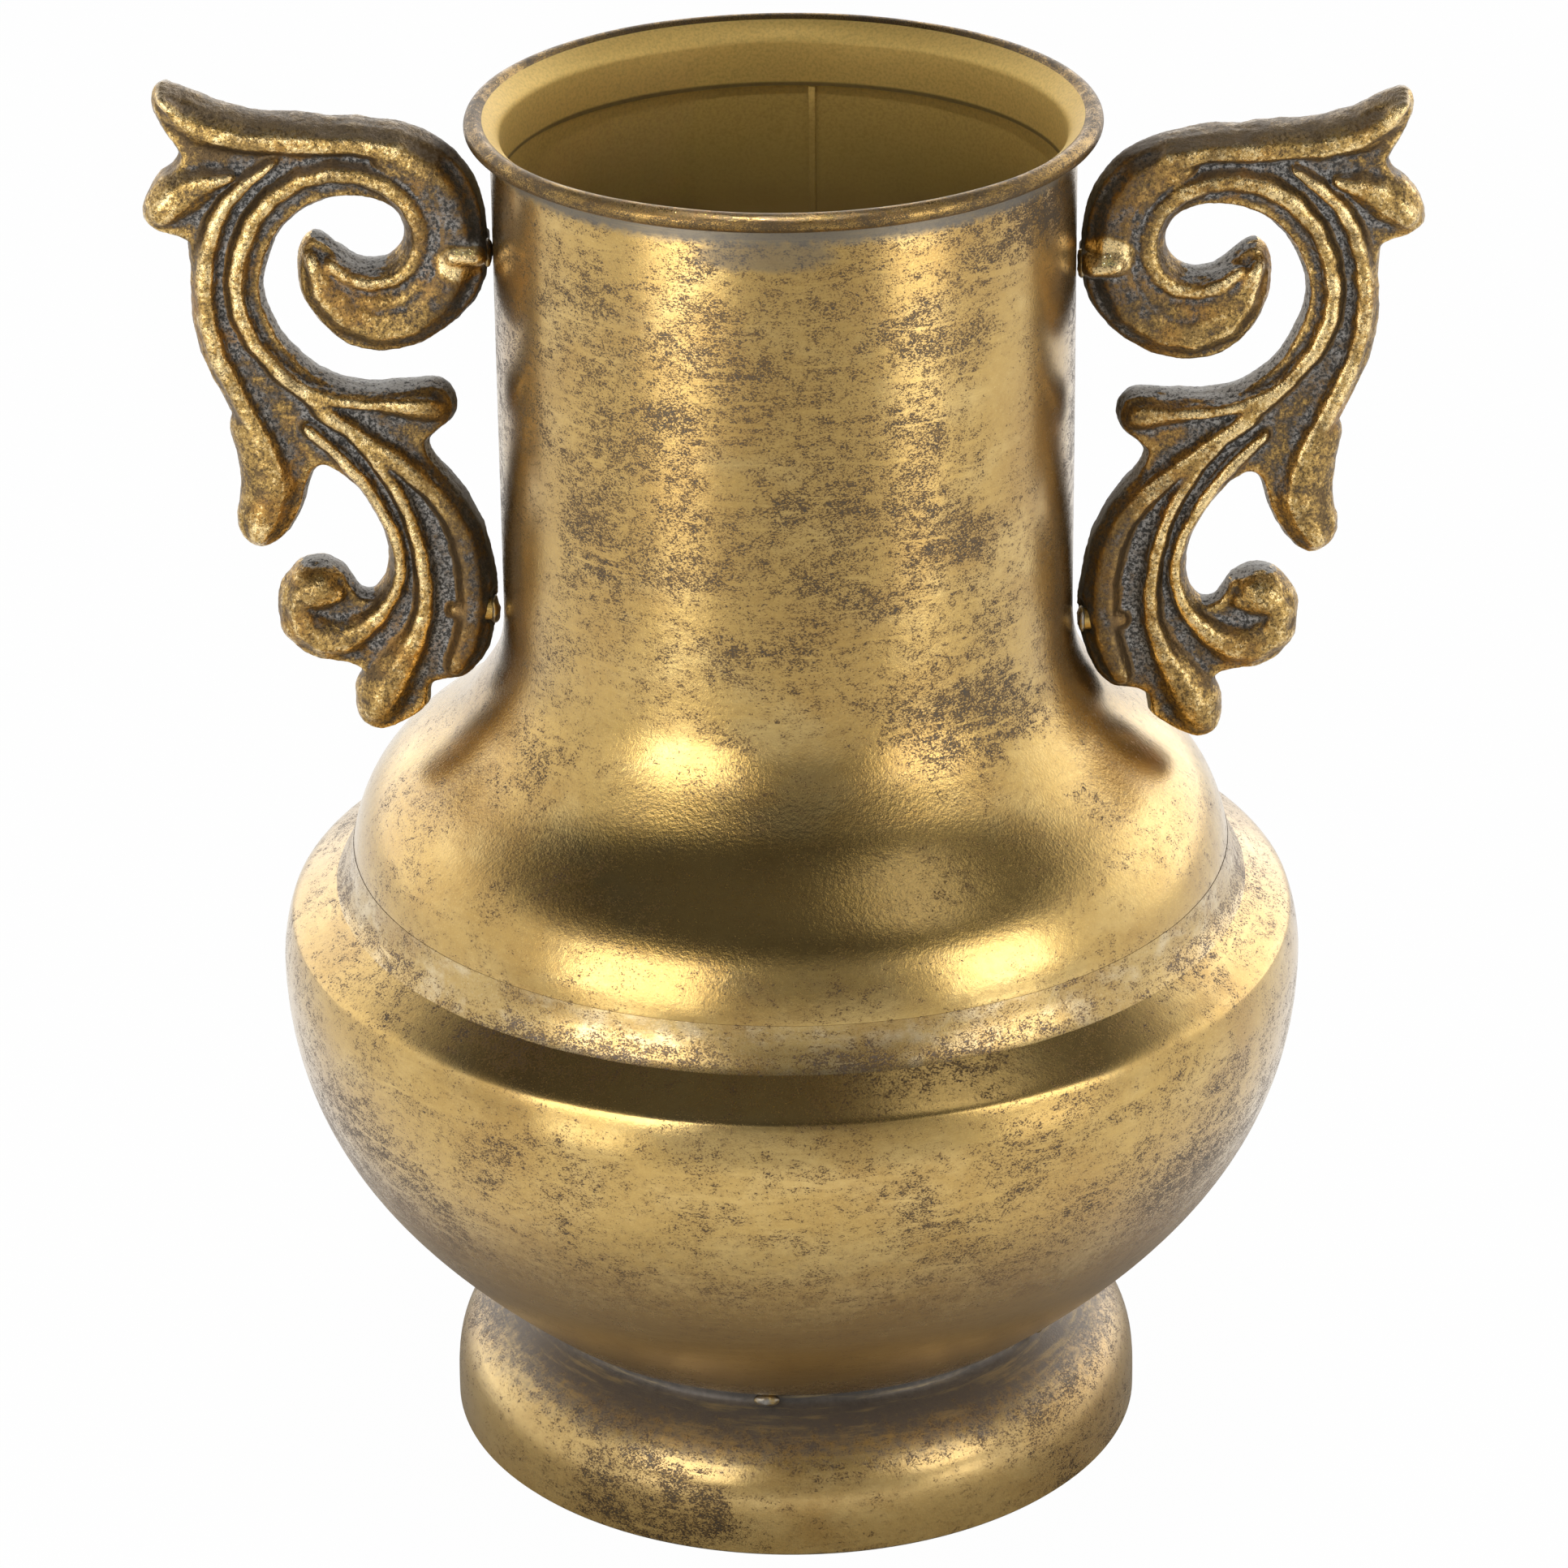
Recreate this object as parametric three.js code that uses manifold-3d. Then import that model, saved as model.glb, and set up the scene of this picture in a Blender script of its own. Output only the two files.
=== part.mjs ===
// Amphora vase: spun and rolled sheet metal with two cast scroll handles.
// Millimetres, +Z up. The foot stands on z = 0 and the handles lie along +X and -X.
import * as THREE from 'three';
import { mergeVertices } from 'three/addons/utils/BufferGeometryUtils.js';
import Module from 'manifold-3d';

const wasm = await Module();
wasm.setup();

// Sheet and joints
const sheet = 1.0; // wall of every spun or rolled shell
const jointGap = 0.3; // clearance between pieces that fit together
const turnSides = 36; // sides of every turned piece
const roundPull = 0.55; // curve handle that follows a quarter circle, per millimetre of radius

// Foot
const footNeckRadius = 59.5;
const footHeight = 31.5; // top of the flange that carries the bowl
const footSpread = 17.5; // base radius beyond the foot's neck
const footWallHeight = 3.0; // upright wall at the base
const footTurnOut = 11.8; // turning point of the ogee, beyond the foot's neck
const footTurnDrop = 10.1; // and below the flange
const footWallPull = 9.4; // roundness of the convex half, at the wall
const footTurnPull = 7.0; // and at the turning point
const footHollowPull = 5.0; // roundness of the concave half, at the turning point
const footNeckPull = 2.5; // and at the neck
const footFlangeWidth = 16.0; // flange under the bowl, inwards from the foot's neck
const footEdgeRadius = 2.0; // bend from neck to flange
const footHemWidth = 5.0; // flat ring that the vase stands on
const footHemHeight = 2.0;

// Bowl
const bowlFlatInset = 5.5; // flat bottom, inside the foot's neck
const bowlTurnOut = 11.9; // end of the bottom's bend, beyond the foot's neck
const bowlTurnRise = 7.2;
const bowlTurnSlope = 0.883; // rise per millimetre outwards there
const bowlPull = 35.5; // fullness of the lower side
const bellyRise = 80.0; // widest line above the bottom's bend
const bellyPull = 36.6; // fullness of the upper side
const bellyOverhang = 4.0; // widest line beyond the ledge's edge
const ledgeBendHeight = 5.7; // widest line up to the ledge's edge
const bellyBendPull = 2.9;
const ledgeBendPull = 1.7;
const ledgeWidth = 12.3;
const ledgeRise = 8.4;

// Shoulder
const domeRadius = 95.4;
const skirtDepth = 6.0; // part of the wall that hangs inside the bowl's mouth
const domeWallHeight = 9.4; // upright wall above the ledge
const domePull = 9.1;
const domeRise = 29.5; // wall top to the turning point of the ogee
const domeTurnSlope = 0.715; // millimetres inwards per millimetre of rise there
const domeTurnPull = 17.9;
const flareOut = 8.3; // turning point of the ogee, beyond the neck
const flareTurnPull = 10.5;
const flareRise = 23.4; // turning point up to the straight collar
const flareNeckPull = 11.0;
const collarHeight = 3.7;
const brazeWidth = 3.2;
const brazeHeight = 2.4;
const brazeThroatOut = 1.0; // hollow of the fillet, out from the mouth
const brazeThroatUp = 1.1; // and up

// Neck and rim
const neckRadius = 61.4;
const seamWidth = 4.0; // brazed seam inside the neck
const seamCrestWidth = 2.0;
const seamHeight = 0.6;
const seamAngle = 84; // degrees from +X, near the back
const rimAbovePin = 30.0; // centre of the rolled lip above the upper pins
const lipRadius = 2.05; // outside of the roll
const lipOverhang = 3.3; // centre of the roll beyond the neck
const lipSheet = 0.8;
const sleeveDepth = 12.7; // rim sleeve inside the neck, below the lip's centre
const lipFlareHeight = 3.2; // where the sleeve starts to flare, below the lip's centre
const lipFlarePull = 1.8;
const rollStart = 125; // degrees round the roll where the flare runs in
const rollEnd = -140; // and where the sheet ends
const rollSteps = 7;
const wireSides = 6;

// Handles
const handleHeight = 147.7; // tip of the lower leaf to the tip of the upper leaf
const handleThickness = 14.0; // over the crests
const handleWeb = 8.0; // in the hollows between the crests
const partingFlat = 1.0; // at the casting's widest line
const draft = 1.0; // from that line in to the edge of each face
const handleGap = 0.7; // casting to neck
const handleStagger = 3.7; // the left casting is fixed this much higher than the right
const leafClearance = 5.0; // inner leaf above the shoulder
const pinRadius = 2.6;
const pinLength = 9.0;
const pinForward = 3.0; // pins lie in front of the casting's middle plane
const pinSides = 16;
const weldFootWidth = 1.1; // weld collar at the wall, beyond its bore
const weldCrownWidth = 0.3; // and at its end
const weldLength = 1.3;

// Tack welds between foot and bowl
const tackAngles = [264, 331, 46, 118, 190]; // degrees from +X, placed by hand
const tackLength = 6.0;
const tackHeight = 3.0;
const tackStandOff = 2.3; // centre beyond the foot's neck
const tackDrop = 1.2; // centre below the flange
const tackSides = 10;
const tackRings = 6;

const finishes = {
  gold: { color: 0xb08a3e, roughness: 0.4, metalness: 0.9 },
  paleGold: { color: 0xc6a45a, roughness: 0.4, metalness: 0.9 },
  darkGold: { color: 0x7a5c2c, roughness: 0.55, metalness: 0.8 },
  castGrey: { color: 0x6d6a66, roughness: 0.55, metalness: 0.75 },
  brazeGrey: { color: 0xa39a86, roughness: 0.48, metalness: 0.85 },
};

const part = new THREE.Group();

function addPiece(name, geometry, finish) {
  const mesh = new THREE.Mesh(geometry, new THREE.MeshStandardMaterial(finishes[finish]));
  mesh.name = name;
  part.add(mesh);
}

function point(radius, height) {
  return new THREE.Vector2(radius, height);
}

// A place moved along a direction
function along(place, direction, distance) {
  return place.clone().addScaledVector(direction, distance);
}

function bend(start, pull, otherPull, end, steps) {
  return new THREE.CubicBezierCurve(start, pull, otherPull, end).getPoints(steps);
}

// Runs of points as one line, with the points that two runs share kept once
function join(...runs) {
  const line = [];
  for (const place of runs.flat()) {
    const last = line[line.length - 1];
    if (!last || last.distanceTo(place) > 1e-6) line.push(place);
  }
  return line;
}

// A line moved sideways by the wall, to its left as it is walked
function offsetLine(line, wall) {
  return line.map((place, i) => {
    const before = line[Math.max(i - 1, 0)];
    const after = line[Math.min(i + 1, line.length - 1)];
    const arriving = i === 0 ? after.clone().sub(place) : place.clone().sub(before);
    const leaving = i === line.length - 1 ? arriving.clone() : after.clone().sub(place);
    arriving.normalize();
    leaving.normalize();
    const side = point(-arriving.y - leaving.y, arriving.x + leaving.x).normalize();
    return along(place, side, wall / side.dot(point(-arriving.y, arriving.x)));
  });
}

function shellOf(outside, wall) {
  return [...outside, ...offsetLine(outside, wall).reverse()];
}

// Shared corners merged, and the flat triangles that a turned section has on its axis dropped
function cleaned(geometry) {
  geometry.deleteAttribute('normal');
  geometry.deleteAttribute('uv');
  const merged = mergeVertices(geometry, 1e-5);
  const corners = merged.index.array;
  const kept = [];
  for (let i = 0; i < corners.length; i += 3) {
    const [a, b, c] = [corners[i], corners[i + 1], corners[i + 2]];
    if (a !== b && b !== c && c !== a) kept.push(a, b, c);
  }
  merged.setIndex(kept);
  return merged;
}

// Solid turned about its own Y axis from a closed section, walked with the metal on its left
function turnedOnY(section, sides) {
  return new THREE.LatheGeometry([...section, section[0].clone()], sides);
}

// The same, stood upright about +Z
function turned(section) {
  return cleaned(turnedOnY(section, turnSides).rotateX(Math.PI / 2));
}

function toSolid(geometry) {
  const mesh = new wasm.Mesh({
    numProp: 3,
    vertProperties: new Float32Array(geometry.attributes.position.array),
    triVerts: new Uint32Array(geometry.index.array),
  });
  return new wasm.Manifold(mesh);
}

function toGeometry(solid) {
  const mesh = solid.getMesh();
  const geometry = new THREE.BufferGeometry();
  geometry.setAttribute('position', new THREE.Float32BufferAttribute(mesh.vertProperties, 3));
  geometry.setIndex(Array.from(mesh.triVerts));
  return geometry;
}

// Foot: ogee wall with a flange on top and a flat hem below
const footRadius = footNeckRadius + footSpread;
const footTurn = point(footNeckRadius + footTurnOut, footHeight - footTurnDrop);
const footSlope = point(-1, 1).normalize();
const footEdgeStart = point(footNeckRadius, footHeight - footEdgeRadius);
const footEdgeEnd = point(footNeckRadius - footEdgeRadius, footHeight);
const footWallTop = point(footRadius, footWallHeight);
const footOutside = join(
  [point(footRadius, 0)],
  bend(
    footWallTop,
    point(footRadius, footWallHeight + footWallPull),
    along(footTurn, footSlope, -footTurnPull),
    footTurn,
    5,
  ),
  bend(
    footTurn,
    along(footTurn, footSlope, footHollowPull),
    point(footNeckRadius, footEdgeStart.y - footNeckPull),
    footEdgeStart,
    3,
  ),
  bend(
    footEdgeStart,
    point(footNeckRadius, footEdgeStart.y + footEdgeRadius * roundPull),
    point(footEdgeEnd.x + footEdgeRadius * roundPull, footHeight),
    footEdgeEnd,
    2,
  ),
  [point(footNeckRadius - footFlangeWidth, footHeight)],
);
const footInside = offsetLine(footOutside, sheet);
footInside[0].y = footHemHeight;
footInside[1].y = footHemHeight + sheet;
const hemRadius = footRadius - footHemWidth;
const footSection = [
  ...footOutside,
  ...footInside.reverse(),
  point(hemRadius, footHemHeight),
  point(hemRadius, 0),
];
addPiece('foot', turned(footSection), 'gold');

// Bowl: flat bottom on the flange, full belly and a sloping ledge round its mouth
const bowlBottom = footHeight;
const bowlFlatEdge = point(footNeckRadius - bowlFlatInset, bowlBottom);
const bowlTurn = point(footNeckRadius + bowlTurnOut, bowlBottom + bowlTurnRise);
const bowlKnee = point(bowlTurn.x - bowlTurnRise / bowlTurnSlope, bowlBottom);
const bowlSlope = point(1, bowlTurnSlope).normalize();
const mouthRadius = domeRadius + jointGap;
const ledgeEdge = point(mouthRadius + ledgeWidth, bowlTurn.y + bellyRise + ledgeBendHeight);
const ledgeMouth = point(mouthRadius, ledgeEdge.y + ledgeRise);
const ledgeSlope = ledgeMouth.clone().sub(ledgeEdge).normalize();
const belly = point(ledgeEdge.x + bellyOverhang, bowlTurn.y + bellyRise);
const bowlOutside = join(
  [point(0, bowlBottom)],
  new THREE.QuadraticBezierCurve(bowlFlatEdge, bowlKnee, bowlTurn).getPoints(3),
  bend(bowlTurn, along(bowlTurn, bowlSlope, bowlPull), point(belly.x, belly.y - bellyPull), belly, 7),
  bend(
    belly,
    point(belly.x, belly.y + bellyBendPull),
    along(ledgeEdge, ledgeSlope, -ledgeBendPull),
    ledgeEdge,
    3,
  ),
  [ledgeMouth],
);
const bowlInside = offsetLine(bowlOutside, sheet);
const mouthInside = bowlInside[bowlInside.length - 1];
mouthInside.addScaledVector(ledgeSlope, (mouthRadius - mouthInside.x) / ledgeSlope.x);
addPiece('bowl', turned([...bowlOutside, ...bowlInside.reverse()]), 'gold');

// Shoulder: skirt inside the bowl's mouth, upright wall, dome and flare up to the collar
const domeWallTop = point(domeRadius, ledgeMouth.y + domeWallHeight);
const flareTurn = point(neckRadius + flareOut, domeWallTop.y + domeRise);
const flareSlope = point(-domeTurnSlope, 1).normalize();
const collarBottom = flareTurn.y + flareRise;
const neckBottom = collarBottom + collarHeight;
const shoulderOutside = join(
  [point(domeRadius, ledgeMouth.y - skirtDepth)],
  bend(
    domeWallTop,
    point(domeRadius, domeWallTop.y + domePull),
    along(flareTurn, flareSlope, -domeTurnPull),
    flareTurn,
    6,
  ),
  bend(
    flareTurn,
    along(flareTurn, flareSlope, flareTurnPull),
    point(neckRadius, collarBottom - flareNeckPull),
    point(neckRadius, collarBottom),
    5,
  ),
  [point(neckRadius, neckBottom)],
);
addPiece('shoulder', turned(shellOf(shoulderOutside, sheet)), 'gold');

// Height of the shoulder's outside at a distance from the axis
function shoulderHeightAt(radius) {
  const i = shoulderOutside.findIndex((place) => place.x < radius);
  const [low, high] = [shoulderOutside[i - 1], shoulderOutside[i]];
  return low.y + ((high.y - low.y) * (low.x - radius)) / (low.x - high.x);
}

// Radius of the shoulder's outside at a height
function shoulderRadiusAt(height) {
  const i = shoulderOutside.findIndex((place) => place.y > height);
  const [low, high] = [shoulderOutside[i - 1], shoulderOutside[i]];
  return low.x + ((high.x - low.x) * (height - low.y)) / (high.y - low.y);
}

// Braze fillet in the groove between the ledge and the shoulder's wall
const ledgeNormal = point(ledgeSlope.y, -ledgeSlope.x);
const brazeToe = along(along(ledgeMouth, ledgeSlope, -brazeWidth), ledgeNormal, jointGap);
const brazeSection = [
  point(mouthRadius, ledgeMouth.y + jointGap / ledgeNormal.y),
  brazeToe,
  point(mouthRadius + brazeThroatOut, ledgeMouth.y + brazeThroatUp),
  point(mouthRadius, ledgeMouth.y + brazeHeight),
];
addPiece('shoulder_braze', turned(brazeSection), 'brazeGrey');

// Handle pattern, drawn at its own size. The parting line runs where the casting is widest,
// from the tip of the upper leaf towards the neck: [distance from the neck, height above the lower pin]
const patternHeight = 147.7;
const pinSpacing = 81.2;
const leafEnd = [10.8, -17.2]; // lowest place of the inner leaf
const partingLine = [
  // upper arm and back of the curl
  [67.3, 118.7], [60.0, 116.2], [54.0, 113.2], [47.0, 111.4], [36.0, 110.9], [24.0, 109.9], [15.0, 108.3],
  [9.0, 105.2], [4.2, 100.2], [1.4, 94.0], [0.2, 86.0], [0.8, 75.6], [4.0, 69.3], [9.5, 63.8], [16.0, 60.2],
  [24.0, 58.9], [31.0, 60.6], [36.6, 65.8], [40.2, 73.0], [40.6, 79.0], [39.4, 83.6], [37.0, 85.8],
  // eye and inner side of the spine
  [33.6, 84.2], [29.4, 80.4], [25.0, 78.9], [21.0, 80.1], [18.4, 83.2], [18.0, 87.0], [20.0, 90.8], [24.0, 93.0],
  [30.0, 93.5], [37.0, 91.8], [42.6, 87.4], [46.4, 81.0], [47.8, 74.0], [46.6, 67.8], [42.6, 60.2], [37.0, 54.8],
  // bud and inner stem
  [30.0, 51.6], [22.0, 51.2], [13.0, 52.4], [9.4, 50.8], [7.9, 46.8], [9.2, 43.2], [14.3, 38.6], [12.4, 34.0],
  [7.4, 27.0], [3.2, 18.6], [0.9, 9.6], [0.4, 2.0], [1.6, -6.0], [4.6, -13.2], [8.4, -16.8], [12.2, -17.0],
  // lower leaf and ball
  [15.4, -18.2], [16.0, -22.6], [21.0, -26.6], [26.6, -29.0], [31.0, -27.0], [32.2, -22.6], [30.2, -15.0],
  [33.0, -13.1], [40.0, -12.0], [45.0, -8.6], [48.0, -1.0], [47.4, 5.4], [43.6, 9.4], [37.6, 10.8], [33.0, 9.0],
  [30.0, 4.0], [27.2, 3.6], [24.6, 7.0], [23.7, 13.6], [25.6, 20.4], [30.4, 28.2], [36.4, 33.2],
  // spur, outer side of the spine and lobe
  [38.8, 32.0], [40.6, 25.6], [44.6, 18.2], [50.0, 14.4], [55.0, 16.8], [56.0, 22.4], [52.8, 31.2], [53.2, 38.4],
  [57.2, 48.0], [61.8, 58.6], [63.6, 70.0], [63.5, 84.2], [69.0, 86.2], [72.6, 89.2], [71.2, 94.8], [66.2, 100.2],
  [64.2, 103.2], [66.8, 107.4], [69.2, 113.4], [68.9, 117.0],
];

// Crests that stand out of both faces: [distance from the neck, height above the lower pin, half width]
const crests = {
  upperArm: [
    [66.6, 116.0, 1.8], [63.0, 112.2, 3.4], [57.0, 109.0, 4.2], [48.0, 107.0, 3.8], [36.0, 106.5, 3.8],
    [24.0, 106.0, 3.8], [16.0, 103.4, 4.4], [9.6, 97.4, 5.2], [6.9, 89.5, 5.8], [7.4, 80.5, 6.0],
    [9.8, 73.5, 6.4], [15.5, 67.6, 6.2], [22.5, 65.8, 6.0], [29.5, 68.2, 6.4], [34.6, 74.0, 5.2],
    [37.0, 80.5, 2.6],
  ],
  eyeRidge: [
    [31.5, 43.4, 2.2], [38.2, 49.6, 2.7], [45.0, 56.0, 2.8], [50.4, 63.0, 2.9], [53.0, 70.0, 3.0],
    [53.2, 77.0, 3.0], [51.4, 85.0, 3.2], [47.6, 91.5, 3.3], [42.0, 96.8, 3.3], [35.5, 99.6, 3.3],
    [29.0, 99.9, 3.3], [22.8, 98.4, 3.4], [17.6, 94.8, 3.5], [14.6, 89.8, 3.5], [14.0, 84.6, 3.4],
    [15.8, 79.8, 3.2], [19.4, 76.6, 3.0], [24.5, 75.6, 2.8], [29.2, 76.8, 2.6], [33.2, 79.8, 2.2],
  ],
  outerRidge: [
    [44.5, 102.2, 1.6], [50.2, 98.0, 2.4], [54.4, 93.6, 2.7], [57.4, 88.0, 2.9], [59.4, 80.0, 3.2],
    [60.0, 72.0, 3.2], [59.0, 63.5, 3.2], [56.2, 55.6, 3.2], [52.8, 48.0, 3.4], [49.6, 40.6, 4.0],
    [47.8, 34.5, 4.8], [47.2, 28.8, 5.4], [48.8, 23.4, 5.2], [50.6, 19.6, 4.0],
  ],
  outerLobe: [[54.0, 99.4, 2.0], [59.0, 98.2, 4.0], [64.0, 95.2, 5.4], [67.2, 92.4, 4.8]],
  budLeaf: [[44.0, 54.6, 2.0], [37.5, 51.0, 2.4], [30.0, 48.8, 2.4], [22.0, 48.2, 2.6], [13.6, 48.2, 3.2]],
  neckRidge: [
    [36.4, 46.6, 2.6], [29.5, 42.0, 3.0], [23.0, 36.8, 3.4], [17.0, 32.0, 3.6], [11.8, 26.6, 3.8],
    [8.2, 20.4, 4.0], [6.2, 13.0, 4.2], [5.6, 5.0, 4.2], [6.0, -2.0, 4.2], [7.6, -8.0, 4.0], [9.6, -12.2, 3.4],
  ],
  middleRidge: [
    [30.0, 41.0, 1.8], [25.0, 35.2, 2.2], [20.6, 27.8, 2.4], [17.8, 20.2, 2.6], [16.0, 11.0, 2.8],
    [15.6, 3.0, 3.0], [17.2, -3.6, 3.4], [20.0, -9.6, 4.4], [23.4, -16.0, 5.6], [26.0, -21.2, 5.2],
  ],
  ballStem: [
    [39.4, 42.8, 1.8], [33.0, 36.6, 2.2], [28.4, 31.0, 2.2], [24.8, 24.8, 2.3], [21.8, 18.2, 2.3],
    [20.9, 12.4, 2.3], [21.4, 7.6, 2.4], [23.6, 2.6, 2.6], [27.4, -2.0, 3.4], [32.2, -5.6, 4.6],
    [37.6, -6.6, 5.0], [42.0, -3.8, 4.8], [43.4, 1.4, 4.2], [42.0, 5.2, 4.0],
  ],
  ballTip: [[42.4, 4.0, 3.8], [39.2, 4.8, 4.2], [36.2, 4.6, 3.6]],
};

const patternScale = handleHeight / patternHeight;
const partingSteps = 2; // stretches between neighbouring places of the parting line

// Flat body of the casting inside its parting line, drafted towards both faces
function castingPlate() {
  const drawn = partingLine.map(([out, up]) => new THREE.Vector3(out, up, 0).multiplyScalar(patternScale));
  const line = new THREE.CatmullRomCurve3(drawn, true, 'centripetal');
  const corners = line.getPoints(partingLine.length * partingSteps).slice(0, -1);
  const shape = new THREE.Shape(corners.map((corner) => new THREE.Vector2(corner.x, corner.y)));
  const rise = (handleWeb - partingFlat) / 2;
  const geometry = new THREE.ExtrudeGeometry(shape, {
    depth: partingFlat,
    bevelThickness: rise,
    bevelSize: draft,
    bevelOffset: -draft,
    bevelSegments: 1,
  });
  geometry.translate(0, 0, -partingFlat / 2);
  geometry.rotateX(Math.PI / 2);
  return cleaned(geometry);
}

// Section of a crest as shares of its half width and of half its thickness
const crestSection = [
  [1, 0.42], [0.4, 1], [-0.4, 1], [-1, 0.42],
  [-1, -0.42], [-0.4, -1], [0.4, -1], [1, -0.42],
];
// Rounded end of a crest, as shares of its half width and thickness there: [reach, width, thickness]
const crestEnd = [[0.6, 0.8, 0.88], [0.95, 0.35, 0.6]];

// Closed bar along a crest line with rounded ends
function crestBar(places) {
  const drawn = places.map(([out, up, half]) => new THREE.Vector3(out, half, up));
  drawn.forEach((place) => place.multiplyScalar(patternScale));
  const line = new THREE.CatmullRomCurve3(drawn, false, 'centripetal');
  const steps = places.length;
  const rings = [];
  const addRing = (share, reach, width, thick) => {
    const place = line.getPoint(share);
    const heading = line.getTangent(share);
    const run = new THREE.Vector2(heading.x, heading.z).normalize();
    const half = place.y;
    const middle = new THREE.Vector2(place.x, place.z).addScaledVector(run, reach * half);
    rings.push(crestSection.map(([side, depth]) => [
      middle.x - run.y * side * half * width,
      depth * thick * handleThickness / 2,
      middle.y + run.x * side * half * width,
    ]));
  };
  for (const [reach, width, thick] of crestEnd.toReversed()) addRing(0, -reach, width, thick);
  for (let i = 0; i <= steps; i++) addRing(i / steps, 0, 1, 1);
  for (const [reach, width, thick] of crestEnd) addRing(1, reach, width, thick);
  const count = crestSection.length;
  const triangles = [];
  for (let ring = 0; ring + 1 < rings.length; ring++) {
    for (let i = 0; i < count; i++) {
      const [a, b] = [ring * count + i, ring * count + ((i + 1) % count)];
      triangles.push(a, a + count, b, b, a + count, b + count);
    }
  }
  const last = (rings.length - 1) * count;
  for (let i = 1; i + 1 < count; i++) {
    triangles.push(0, i, i + 1, last, last + i + 1, last + i);
  }
  const geometry = new THREE.BufferGeometry();
  geometry.setAttribute('position', new THREE.Float32BufferAttribute(rings.flat(2), 3));
  geometry.setIndex(triangles);
  return geometry;
}

// A piece turned about its own Y axis, laid along +X where the pins lie
function alongPin(geometry, start, height) {
  geometry.rotateZ(-Math.PI / 2);
  geometry.translate(start, -pinForward, height);
  return cleaned(geometry);
}

function rod(radius, start, length, height) {
  const geometry = new THREE.CylinderGeometry(radius, radius, length, pinSides);
  geometry.translate(0, length / 2, 0);
  return alongPin(geometry, start, height);
}

// The castings stand so that the inner leaf clears the shoulder
const leafRadius = neckRadius + handleGap + leafEnd[0] * patternScale;
const lowestPin = shoulderHeightAt(leafRadius) + leafClearance - leafEnd[1] * patternScale;
const handlePins = { left: lowestPin + handleStagger, right: lowestPin };

// Pins and their welds start at the wall that they are fixed to
const pinBore = pinRadius + jointGap;
const weldRadius = pinBore + weldFootWidth;
const pins = {
  lower: { height: 0, start: shoulderRadiusAt(lowestPin - weldRadius) + jointGap },
  upper: { height: pinSpacing * patternScale, start: neckRadius + jointGap },
};

// The casting with its pin seats, standing off the neck, the lower pin at height 0
function handleSolid() {
  const bars = Object.values(crests).map(crestBar);
  let solid = [castingPlate(), ...bars].map(toSolid).reduce((whole, piece) => whole.add(piece));
  solid = solid.translate([neckRadius + handleGap, 0, 0]);
  for (const { height, start } of Object.values(pins)) {
    const mouth = start - neckRadius + jointGap;
    const seat = rod(pinBore, neckRadius, mouth + pinLength, height);
    const recess = rod(weldRadius + jointGap, neckRadius, mouth + weldLength, height);
    solid = solid.subtract(toSolid(seat)).subtract(toSolid(recess));
  }
  return solid;
}

// A piece of the right side as it is, or mirrored to the left, at its casting's height
function placed(geometry, side) {
  const copy = geometry.clone();
  if (side === 'left') {
    copy.scale(-1, 1, 1);
    const corners = copy.index.array;
    for (let i = 0; i < corners.length; i += 3) [corners[i], corners[i + 1]] = [corners[i + 1], corners[i]];
  }
  copy.translate(0, 0, handlePins[side]);
  return copy;
}

// Weld collar round a pin at the wall, a low cone with a hole for the pin
function weldCollar(start, height) {
  const section = [
    point(pinBore, 0),
    point(weldRadius, 0),
    point(pinBore + weldCrownWidth, weldLength),
    point(pinBore, weldLength),
  ];
  return alongPin(turnedOnY(section, pinSides), start, height);
}

const pattern = toGeometry(handleSolid());
for (const side of ['left', 'right']) {
  addPiece(`${side}_handle`, placed(pattern, side), 'castGrey');
  for (const [level, { height, start }] of Object.entries(pins)) {
    addPiece(`${side}_${level}_pin`, placed(rod(pinRadius, start, pinLength, height), side), 'paleGold');
    addPiece(`${side}_${level}_weld`, placed(weldCollar(start, height), side), 'darkGold');
  }
}

// Neck: rolled tube on the shoulder's collar, brazed along a seam inside
const upperPinHeight = lowestPin + handleStagger / 2 + pins.upper.height;
const lipCentre = point(neckRadius + lipOverhang, upperPinHeight + rimAbovePin);
const neckInside = neckRadius - sheet;
const neckTop = lipCentre.y - lipFlareHeight;
const neckSection = [
  point(neckRadius, neckBottom),
  point(neckRadius, neckTop),
  point(neckInside, neckTop),
  point(neckInside, neckBottom),
];
addPiece('neck_tube', turned(neckSection), 'gold');

const sleeveBottom = lipCentre.y - sleeveDepth;
const seamOutside = neckInside * Math.cos(Math.PI / turnSides) - jointGap;
const seamOutline = new THREE.Shape([
  point(seamOutside, -seamWidth / 2),
  point(seamOutside, seamWidth / 2),
  point(seamOutside - seamHeight, seamCrestWidth / 2),
  point(seamOutside - seamHeight, -seamCrestWidth / 2),
]);
const seamLength = sleeveBottom - neckBottom - jointGap * 2;
const seam = new THREE.ExtrudeGeometry(seamOutline, { depth: seamLength, bevelEnabled: false });
seam.rotateZ(THREE.MathUtils.degToRad(seamAngle));
seam.translate(0, 0, neckBottom + jointGap);
addPiece('neck_seam', cleaned(seam), 'darkGold');

// Rim: sleeve inside the neck, flared and rolled outwards over a wire
function onRoll(radius, degrees) {
  const turn = THREE.MathUtils.degToRad(degrees);
  return point(lipCentre.x + radius * Math.cos(turn), lipCentre.y + radius * Math.sin(turn));
}

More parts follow.
